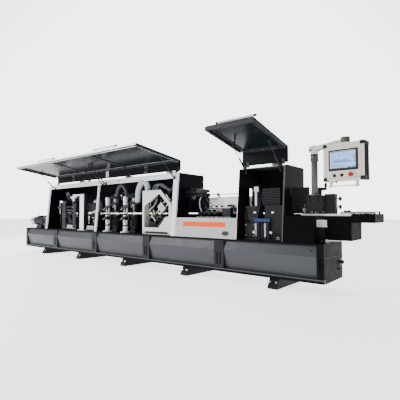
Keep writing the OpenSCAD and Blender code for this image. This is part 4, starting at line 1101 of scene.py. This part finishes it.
def make_end_trim():
    def paint(low, high, centre, normal):
        size = high - low
        if high.y < -240:
            return "cream"
        if size.y < 100 and size.x > 200 and size.z > 200:
            return "steel"
        return "dark_steel" if size.y < 100 else "cream"

    repaint("end_trim_frame", paint)
    frame_part = Piece("end_trim_details", "machine_frame", "unit_white")
    for x, z in ((622, 640), (622, 860), (622, 1040), (640, 1280), (700, 1240), (1265, 650), (1265, 760),
                 (1200, 760), (1265, 1000), (1060, 1290), (980, 1300), (820, 1300)):
        frame_part.lathe((x, -262, z), TO_FRONT, [(0, 9), (2, 9), (2.5, 6)], "zinc", 20)
    # inclined black cylinder with its steel rod, valve box and brass block behind the opening
    frame_part.rod((975, -225, 722), (1075, -225, 808), 34, "plastic", 28)
    frame_part.rod((1065, -225, 800), (1100, -225, 830), 37, "dark_steel", 28)
    frame_part.rod((1095, -225, 826), (1150, -225, 873), 20, "steel", 24)
    frame_part.rod((962, -225, 711), (980, -225, 726), 37, "dark_steel", 28)
    frame_part.box((779, 912), (-240, -150), (701, 792), "plastic")
    frame_part.box((790, 900), (-243, -240), (712, 780), "rubber")
    frame_part.box((800, 880), (-225, -150), (905, 965), "brass")
    frame_part.rod((840, -228, 935), (840, -150, 935), 26, "brass", 24)
    frame_part.box((700, 960), (-170, -120), (860, 890), "anodised")
    frame_part.box((690, 730), (-180, -100), (700, 860), "dark_steel")
    frame_part.box((660, 780), (-160, -40), (960, 1060), "motor")
    for i in range(5):
        frame_part.lathe((690 + i * 42, -232, 985 - (i % 2) * 34), TO_FRONT, [(0, 11), (9, 11), (12, 7)],
                         ("motor_silver", "dark_steel")[i % 2], 18)
    frame_part.tube([(715, -215, 955), (760, -235, 1000), (850, -238, 1050), (890, -225, 1110),
                     (905, -200, 1180)], 11, "hose_grey", 12, 9)
    frame_part.tube([(668, -200, 900), (690, -238, 830), (760, -235, 800), (800, -220, 760)], 7,
                    "air_black")
    frame_part.tube([(1180, -200, 900), (1160, -235, 960), (1060, -230, 950), (980, -220, 900),
                     (930, -210, 840)], 8, "rubber")
    for i in range(3):
        frame_part.tube([(700 + i * 16, -190, 1060), (720 + i * 20, -220, 1130), (800 + i * 20, -215, 1170),
                         (860 + i * 12, -170, 1230)], 5, ("air_blue", "air_black", "air_white")[i])
    # upper end of the inclined guide: cylinder and rod
    frame_part.rod((1130, -150, 1255), (1225, -150, 1350), 30, "plastic", 26)
    frame_part.rod((1225, -150, 1350), (1290, -150, 1415), 11, "chrome", 18)
    frame_part.rod((1118, -150, 1243), (1132, -150, 1257), 34, "dark_steel", 26)
    frame_part.build()
    head = Piece("end_trim_motor", "end_trim_head", "motor_grey")
    for t in turns(22):
        out = Vector((0, math.cos(t), math.sin(t)))
        if out.z > -0.55:
            head.slab((1045, SAW_Y + out.y * 51, SAW_Z + out.z * 51), (62, 0, 0), out * 4.5,
                      out.cross(ALONG) * 1.5, "motor_silver")
    head.lathe((1140, SAW_Y, SAW_Z), ALONG, [(0, 50), (24, 50), (28, 40)], "motor_silver", 36)
    for r in (14, 24, 34):
        head.ring((1168, SAW_Y, SAW_Z), ALONG, r, 1.8, "motor_silver", 30)
    head.box((1000, 1090), (-130, -98), (1060, 1120), "motor")
    head.lathe((930, SAW_Y, SAW_Z), ALONG, [(0, 40), (12, 47), (20, 47)], "motor_silver", 36)
    head.build()
    saw = Piece("saw_teeth", "end_trim_saw", "machined_steel")
    for t in turns(36):
        out = Vector((0, math.cos(t), math.sin(t)))
        side = out.cross(ALONG)
        saw.slab(Vector((922, SAW_Y, SAW_Z)) + out * 90, (2.4, 0, 0), out * 3.2 + side * 1.4, side * 2.4,
                 "chrome")
    saw.lathe((911, SAW_Y, SAW_Z), (-1, 0, 0), [(0, 19), (2, 19), (3, 16)], "dark_steel", 28)
    saw.build(0)


def cutter_teeth(node, radius, levels, count=8):
    lo, hi = span(node)
    x, y = (lo.x + hi.x) / 2, (lo.y + hi.y) / 2
    cut = Piece(node + "_knives", node, "machined_steel")
    for z0, z1 in levels:
        for t in turns(count):
            out = out_at(t)
            cut.slab((x + out.x * (radius - 2), y + out.y * (radius - 2), (z0 + z1) / 2), out * 3,
                     out.cross(UP) * 3.5, (0, 0.01, (z1 - z0) / 2 - 1.5), "dark_steel")
        cut.lathe((x, y, z1), UP, [(0, 17), (3.5, 17), (4.5, 14)], "zinc", 24)
    cut.build(0)


def make_beam_shade_sheets():
    """Dark sheets in front of the pressure beam, inside both hoods and beside the main hood: painted shade,
    standing in for the shadow on the beam there.
    """
    guards = Piece("beam_shade_sheets", "machine_frame", "hood_black")
    for x, top in (((-2590, -1320), 1250), ((-1316, 40), 1250), ((44, 1420), 1250), ((1424, 1478), 1240),
                   ((1478, 1522), 1160), ((1522, 1800), 1240), ((2590, 3225), 1296)):
        guards.box(x, (64, 68), (945, top), "hood_dark")
        if x[1] - x[0] > 200:
            gap = (x[1] - x[0] - 60) / 4
            places = [(x[0] + 30 + i * gap, 64, z) for i in range(5) for z in (965, top - 20)]
            guards.bolts(places, TO_FRONT, 5, "dark_steel")
    guards.build()


def make_mid_units():
    def press(low, high, centre, normal):
        size = high - low
        if size.x < 70 and size.z > 80 and size.y < 70:
            return "rubber"
        return "steel" if size.z < 18 and size.y > 100 else "motor"

    repaint("press_unit", press)
    parts = Piece("press_details", "machine_frame", "unit_grey")
    for x in (2150, 2050, 1950, 1850):
        parts.lathe((x, 6, 990), UP, [(0, 30), (3, 30), (4, 14), (12, 14)], "steel", 26)
        parts.box((x - 26, x + 26), (-60, -10), (1002, 1016), "cast_black")
        parts.lathe((x, -60, 1030), UP, [(0, 7), (4, 7), (5, 20), (20, 22), (24, 18)], "plastic", 26)
        parts.rod((x, -60, 1016), (x, -60, 1032), 7, "chrome", 14)
        parts.lathe((x, -200, 938), TO_FRONT, [(0, 15), (16, 15), (20, 22), (36, 22), (40, 17)], "plastic",
                    24)
    parts.box((2126, 2262), (-120, -60), (966, 1014), "pink")
    parts.box((1880, 2240), (-125, -90), (952, 962), "green")
    for x, z in ((2305, 1060), (2345, 1066), (2395, 1052), (2425, 1010)):
        parts.lathe((x, -110, z - 34), UP, [(0, 9), (10, 9), (12, 22), (30, 24), (34, 18)], "plastic", 24)
    for x in (2366, 2425):
        parts.ball((x, -120, 944), 13, "white")
        parts.rod((x, -118, 944), (x - 14, -100, 900), 5, "chrome", 12)
    parts.box((2290, 2440), (-130, -60), (886, 926), "cast_black")
    # coil arm and crank drive on the infeed wall of the main hood
    parts.lathe((1434, -42, 1286), ALONG, [(0, 52), (8, 55), (200, 55), (210, 48)], "cast_black", 34)
    parts.lathe((1644, -42, 1280), ALONG, [(0, 40), (60, 44), (150, 38), (240, 20), (262, 12)],
                "dark_steel", 30)
    parts.box((1700, 1850), (-60, 40), (1190, 1250), "cast_black")
    parts.lathe((1775, -62, 1226), TO_FRONT, [(0, 26), (14, 26), (18, 20)], "unit", 28)
    parts.tube([(1735, -40, 1190), (1722, -60, 1130), (1722, -58, 1050), (1745, -40, 960)], 9, "hose_light",
               10)
    parts.tube([(1780, -40, 1190), (1800, -70, 1110), (1850, -66, 1050), (1900, -60, 1030)], 8, "rubber",
               10)
    parts.tube([(1820, -30, 1190), (1880, -50, 1120), (1960, -60, 1080), (2020, -60, 1050)], 6, "air_black",
               10)
    parts.box((1700, 1760), (-45, 30), (886, 960), "motor")
    parts.build()
    drum = Piece("press_roller_cap", "press_roller", "machined_steel")
    lo, hi = span("press_roller")
    x, y = (lo.x + hi.x) / 2, (lo.y + hi.y) / 2
    drum.lathe((x, y, 1004), UP, [(0, 72), (2, 68), (2.5, 30)], "steel", 48)
    drum.lathe((x, y, 1060), UP, [(0, 13), (3, 13), (5, 10)], "zinc", 24)
    drum.bolts([on_circle(x, y, 1006, 50, t) for t in turns(6)], UP, 6)
    drum.build()


def make_glue_and_mill():
    def glue(low, high, centre, normal):
        size = high - low
        if abs(size.x - size.y) < 4 and size.z > 200:
            return "unit"
        return "unit" if size.z > 30 else "dark_steel"

    def mill(low, high, centre, normal):
        return "hood_dark" if high.z > 1200 else ("motor" if high.x - low.x < 130 else "unit")

    repaint("glue_unit", glue)
    repaint("pre_mill_unit", mill)
    parts = Piece("glue_details", "machine_frame", "unit_grey")
    parts.lathe((2795, -120, 1290), UP, [(0, 46), (3, 48), (10, 48), (14, 40), (20, 14)], "dark_steel", 36)
    parts.box((2782, 2812), (-178, -164), (1000, 1235), "silver_tank")
    parts.box((2770, 2835), (-176, -160), (1226, 1292), "silver_tank")
    for z in (1060, 1130, 1200):
        parts.lathe((2795, -120, z), UP, [(0, 45), (1, 47), (13, 47), (14, 45)], "dark_steel", 36)
    for i in range(10):
        z = 1058 + i * 21
        parts.prism_x((2894, 3150), [(-170, z + 13), (-178, z + 10), (-178, z + 3), (-170, z)], "ribs")
    parts.box((2894, 3150), (-174, -170), (1041, 1050), "unit")
    for x in (2799, 3060):
        parts.box((x - 15, x + 15), (-214, -200), (938, 958), "white")
    # blue slide with the row of cylinders under it
    parts.box((2800, 3030), (-232, -204), (828, 866), "blue")
    for i in range(6):
        parts.bolt((2822 + i * 38, -232, 847), TO_FRONT, 6, "dark_steel")
    for i in range(5):
        x = 2822 + i * 46
        parts.rod((x, -222, 630), (x, -222, 806), 17, ("motor_silver", "unit", "motor")[i % 3], 22)
        parts.lathe((x, -222, 806), UP, [(0, 18), (6, 18), (8, 8), (22, 8)], "dark_steel", 20)
        parts.lathe((x, -222, 606), UP, [(0, 19), (24, 19)], "dark_steel", 20)
    for x, z in ((2812, 690), (3062, 693)):
        parts.ball((x, -262, z), 17, "white")
        parts.rod((x, -262, z), (x + 8, -232, z - 52), 5.5, "chrome", 12)
        parts.lathe((x + 8, -236, z - 62), UP, [(0, 14), (14, 12)], "plastic", 20)
    parts.tube([(3075, -258, 690), (3110, -252, 676), (3140, -246, 640)], 6, "plastic", 10)
    parts.ring((3150, -246, 622), TO_REAR, 17, 4.5, "motor_silver", 28)
    parts.box((2640, 2800), (-206, -202), (620, 800), "unit")
    parts.bolts([(x, -206, z) for x in (2654, 2786) for z in (636, 784)], TO_FRONT, 6)
    parts.tube([(2690, -150, 1036), (2660, -200, 1000), (2655, -226, 900), (2690, -215, 800)], 9, "rubber",
               10)
    parts.tube([(2830, -120, 1240), (2868, -150, 1180), (2866, -190, 1060), (2850, -200, 960)], 6,
               "air_black", 10)
    parts.build()


# ---- infeed end ----

def make_infeed():
    def table(low, high, centre, normal):
        if low.z > 900 and high.x < 4000:
            return "table"
        return "bracket" if high.x < 3645 and high.x - low.x > 300 and low.y > -112 else "box_black"

    repaint("infeed_table", table)
    parts = Piece("infeed_details", "machine_frame", "table_steel")
    parts.box((3521, 3690), (-119, -115), (612, 902), "bracket")
    for x in (3560, 3605, 3650):
        parts.box((x - 2, x + 2), (-120, -119), (640, 880), "rubber")
    parts.box((3604, 3719), (-140, -119), (773, 856), "white")
    parts.box((3612, 3711), (-143, -140), (781, 848), "cream")
    # guide roller on its pin, bar beside the extension and its two stands
    parts.rod((3445, -108, 930), (3445, -108, 1045), 7, "chrome", 16)
    parts.lathe((3445, -108, 956), UP, [(0, 22), (3, 26), (44, 26), (47, 22)], "hose_grey", 32)
    parts.lathe((3445, -108, 1003), UP, [(0, 14), (10, 14), (14, 9)], "dark_steel", 24)
    parts.box((3425, 3500), (-120, -96), (930, 940), "cast_black")
    parts.box((3872, 4204), (296, 308), (946, 958), "dark_steel")
    for x in (3905, 4050, 4190):
        parts.box((x - 9, x + 9), (294, 308), (930, 946), "cast_black")
    for i in range(4):
        parts.lathe((4030 + i * 50, 106, 930), UP, [(0, 13), (0.7, 12)], "dark_steel", 20)
    parts.bolts([(4236, y, 880) for y in (-80, 110, 290)], ALONG, 8, "dark_steel")
    parts.bolts([(3990, y, z) for y in (-80, 270) for z in (650, 800)], ALONG, 9, "dark_steel")
    # bolts of the post plate, ribs of the guide block, and the pin between the star knobs
    # sheet guard between the hood and the post's bracket, in front of the beam's end
    parts.box((3250, 3486), (-58, -55), (932, 1264), "bracket")
    parts.box((3250, 3486), (-60, -58), (1080, 1086), "black")
    parts.box((3250, 3300), (-58, -30), (932, 936), "bracket")
    parts.bolts([(3470, -58, z) for z in (960, 1200)], TO_FRONT, 8, "dark_steel")
    parts.box((3234, 3240), (21, 338), (1252, 1289), "hood_brown")
    parts.box((3234, 3240), (262, 338), (960, 1252), "hood_brown")
    parts.bolts([(x, -162, z) for x in (3531, 3636) for z in (1127, 1088)], TO_FRONT, 12, "rubber")
    for i in range(8):
        z = 950 + i * 26
        parts.prism_x((3692, 3812), [(-118, z + 17), (-124, z + 14), (-124, z + 4), (-118, z)], "bracket")
    parts.rod((3822, -96, 1004), (3822, -96, 1128), 6.5, "chrome", 16)
    for z in (1010, 1105):
        for t in turns(5):
            out = Vector((0, math.cos(t), math.sin(t)))
            parts.rod(Vector((3856, -70, z)) + out * 16, Vector((3856, -70, z)) + out * 27, 6.5, "plastic",
                      14)
            parts.ball(Vector((3856, -70, z)) + out * 27, 7, "plastic")
        parts.lathe((3872, -70, z), ALONG, [(0, 12), (6, 10), (8, 5)], "dark_steel", 20)
    # base end: switch plate and cable gland
    end = BASE_X[1]
    parts.box((end, end + 3.4), (215, 295), (286, 376), "dark_steel")
    parts.lathe((end, 180, 250), ALONG, [(0, 15), (6, 15), (8, 12), (16, 11)], "plastic", 20)
    for y in (-200, 0, 200):
        parts.prism_x((end, end + 3), [(y - 60, 420), (y + 60, 420), (y + 60, 426), (y - 60, 426)],
                      "skirt_post")
    parts.build()
    fence = Piece("fence_fittings", "infeed_fence", "anodised")
    fence.box((3832, 4210), (8, 10), (934, 950), "steel")
    for x in (3900, 3940):
        fence.lathe((x, -18, 944), UP, [(0, 13), (4, 13), (6, 18), (22, 20), (26, 15)], "plastic", 24)
    fence.build()
    wheel = Piece("handwheel_details", "beam_handwheel", "wheel_black")
    wheel.lathe((3590, 10, 1247), UP, [(0, 22), (6, 22), (10, 14)], "dark_steel", 28)
    wheel.lathe((3664, 10, 1258), UP, [(0, 12), (3, 16), (30, 17), (50, 12)], "plastic", 24)
    wheel.rod((3664, 10, 1240), (3668, 10, 1262), 6, "chrome", 12)
    for t in turns(24):
        wheel.ball(on_circle(3590, 10, 1234, 85.5, t), 4.2, "plastic")
    wheel.build()


# ---- operator panel ----

def make_panel():
    place = Matrix.Translation(HUB) @ Matrix.Rotation(PANEL_TURN, 4, "Z")
    housing = Piece("panel_housing_trim", "hmi_panel", "hmi_beige", place)
    for x in (-1, 1):
        for z, way in ((1285, 1), (1685, -1)):
            housing.box(sorted((x * 218, x * 176)), (-73, 73), sorted((z - way * 3, z + way * 36)),
                        "plastic")
            housing.box(sorted((x * 178, x * 174)), (-71.5, 71.5), sorted((z - way * 2, z + way * 30)),
                        "rubber")
    # frame lines of the front, side covers and back plate
    for x in (-1, 1):
        housing.box(sorted((x * 186, x * 184)), (-70.6, -69), (1322, 1648), "rubber")
        # Painted shade: the right side cover is black for the shade on that side of the housing; the left one
        # keeps the housing's beige.
        housing.box(sorted((x * 217, x * 214)), (-60, 60), (1322, 1648), "black" if x > 0 else "beige")
    for z in (1312, 1655):
        housing.box((-174, 174), (-70.6, -69), (z - 1, z + 1), "rubber")
    housing.box((-176, 176), (69, 72.5), (1326, 1644), "beige")
    for i in range(7):
        housing.box((-120, 120), (72.5, 74), (1360 + i * 12, 1365 + i * 12), "bracket")
    for x in (-160, 160):
        for z in (1340, 1630):
            housing.lathe((x, 72.5, z), TO_REAR, [(0, 6), (2, 6), (3, 4)], "zinc", 16)
    housing.lathe((0, 0, 1684), UP, [(0, 46), (6, 46), (10, 30), (14, 30)], "arm", 36)
    for x in (-150, -110, 120):
        housing.lathe((x, 10, 1284), (0, 0, -1), [(0, 13), (8, 13), (10, 9), (20, 8)], "plastic", 18)
    housing.build()
    screen = Piece("panel_screen_face", "hmi_panel", "screen_glass", place)
    front = -73
    screen.box((-156, 156), (front + 0.2, -69.8), (1389, 1616), "bezel")

    def mark(x, z, key, out=1.2):
        screen.box(x, (front - out, front + 0.3), z, key)

    mark((-140, 130), (1416, 1602), "screen_blue", 0.6)
    mark((-140, 130), (1586, 1602), "screen_bar")
    mark((-122, -104), (1588.5, 1595.5), "screen_ink", 1.5)
    mark((-96, -30), (1590, 1594), "screen_ink", 1.5)
    # a generic page: a row of unit symbols over a base line, with status fields
    for i in range(11):
        x = -112 + i * 18
        height = (16, 30, 22, 38, 26, 18, 34, 24, 30, 20, 14)[i]
        mark((x, x + 11), (1480, 1480 + height), "screen_ink")
    mark((-122, 96), (1474, 1478), "screen_ink")
    for i in range(5):
        mark((-122 + i * 30, -100 + i * 30), (1438, 1452), "screen_bar")
        mark((-118 + i * 30, -104 + i * 30), (1443, 1447), "screen_ink", 1.5)
    for i in range(3):
        mark((104, 128), (1474 + i * 26, 1492 + i * 26), "screen_bar")
    for i in range(2):
        mark((44 + i * 46, 82 + i * 46), (1416, 1430), "screen_teal")
    mark((-122, 20), (1416, 1426), "screen_bar")
    for i in range(4):
        mark((-116 + i * 60, -84 + i * 60), (1546, 1550), "screen_ink", 1.3)
    mark((-122, 122), (1556, 1557.5), "screen_bar")
    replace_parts(screen.build(0.0003), "hmi_screen")
    fittings = Piece("panel_fittings", "hmi_panel", "hmi_beige", place)
    for x in (-95, -15, 85):
        fittings.lathe((x, -69.8, 1340), TO_FRONT, [(0, 18), (2.5, 18), (3.5, 16.5), (3.5, 12)],
                       "dark_steel", 32)
    fittings.lathe((-50, -69.8, 1362), TO_FRONT, [(0, 4), (2, 3)], "screen_teal", 14)
    # handle brackets and grip ends
    for side in (-1, 1):
        fittings.box((side * 140 - 16, side * 140 + 16), (-68, -48), (1272, 1285), "beige")
        fittings.lathe((side * 140 + side * 14, -58, 1227), (side, 0, 0), [(0, 10), (5, 10), (7, 7)],
                       "motor_silver", 24)
        fittings.bolt((side * 140, -66, 1262), TO_FRONT, 5)
    fittings.build()
    for node, x, key in (("start_button", -95, "plastic"), ("stop_button", -15, "plastic")):
        cap = Piece(node + "_cap", node, "button_black", place)
        cap.lathe((x, -80, 1340), TO_FRONT, [(0, 13.4), (3, 13.2), (4, 11.5)], key, 30)
        cap.build(0.0003)
    stop = Piece("emergency_stop_cap", "emergency_stop", "estop_red", place)
    stop.lathe((85, -100, 1340), TO_FRONT, [(0, 23), (4, 24), (8, 21), (10, 13)], "red", 36)
    for t in turns(12):
        stop.ball((85 + 23 * math.cos(t), -103, 1340 + 23 * math.sin(t)), 1.8, "red")
    stop.build(0.0004)


def make_post_and_arm():
    post = Piece("post_details", "machine_frame", "post_grey")
    x, y = POST[:2]
    post.lathe((x, y, 1150), UP, [(0, 62), (10, 62), (13, 52), (26, 40)], "post_grey", 40)
    post.bolts([on_circle(x, y, 1160, 52, t) for t in turns(4)], UP, 8)
    post.lathe((x, y, 1560), UP, [(0, 47), (3, 50), (12, 50), (15, 47)], "post_grey", 40)
    post.box((x - 12, x + 12), (y - 66, y - 44), (1580, 1630), "post_grey")
    post.bolt((x, y - 66, 1605), TO_FRONT, 9)
    post.build()
    start, end = Vector(POST), Vector(HUB)
    turn = math.atan2(end.y - start.y, end.x - start.x)
    reach = (end - start).length
    arm = Piece("arm_details", "hmi_arm", "arm_white",
                Matrix.Translation(start) @ Matrix.Rotation(turn, 4, "Z"))
    arm.box((-48, 44), (-46, 46), (1680, 1744), "arm")
    arm.box((60, reach - 40), (-20, 20), (1738, 1742), "arm")
    arm.box((60, reach - 40), (-28, 28), (1686, 1690), "post_grey")
    arm.lathe((0, 0, 1746), UP, [(0, 36), (6, 36), (10, 26)], "arm", 36)
    arm.lathe((reach, 0, 1700), UP, [(0, 47), (52, 47), (56, 43), (60, 20)], "post_grey", 40)
    arm.lathe((reach, 0, 1686), UP, [(0, 40), (3, 43), (12, 43)], "arm", 36)
    arm.bolts([(px, py, 1746) for px in (-36, 30) for py in (-34, 34)], UP, 7)
    arm.tube([(-20, -50, 1700), (0, -66, 1690), (20, -60, 1700)], 6, "rubber")
    arm.build()
make_camera()
finishes = make_finishes()
make_stage()
finish_cad_nodes()
make_base()
make_gearmotor()
make_feed()
make_hoods()
make_cover()
make_lids()
make_trim_units()
make_corner_unit()
make_finishing_units()
make_hoses()
make_end_trim()
make_beam_shade_sheets()
make_mid_units()
make_glue_and_mill()
cutter_teeth("pre_mill_cutter_infeed", 62.5, ((900, 965),), 10)
cutter_teeth("pre_mill_cutter_outfeed", 62.5, ((900, 965),), 10)
cutter_teeth("rough_trim_cutters", 35, ((892, 922), (958, 988)))
cutter_teeth("fine_trim_cutters", 35, ((892, 922), (958, 988)))
make_infeed()
make_panel()
make_post_and_arm()
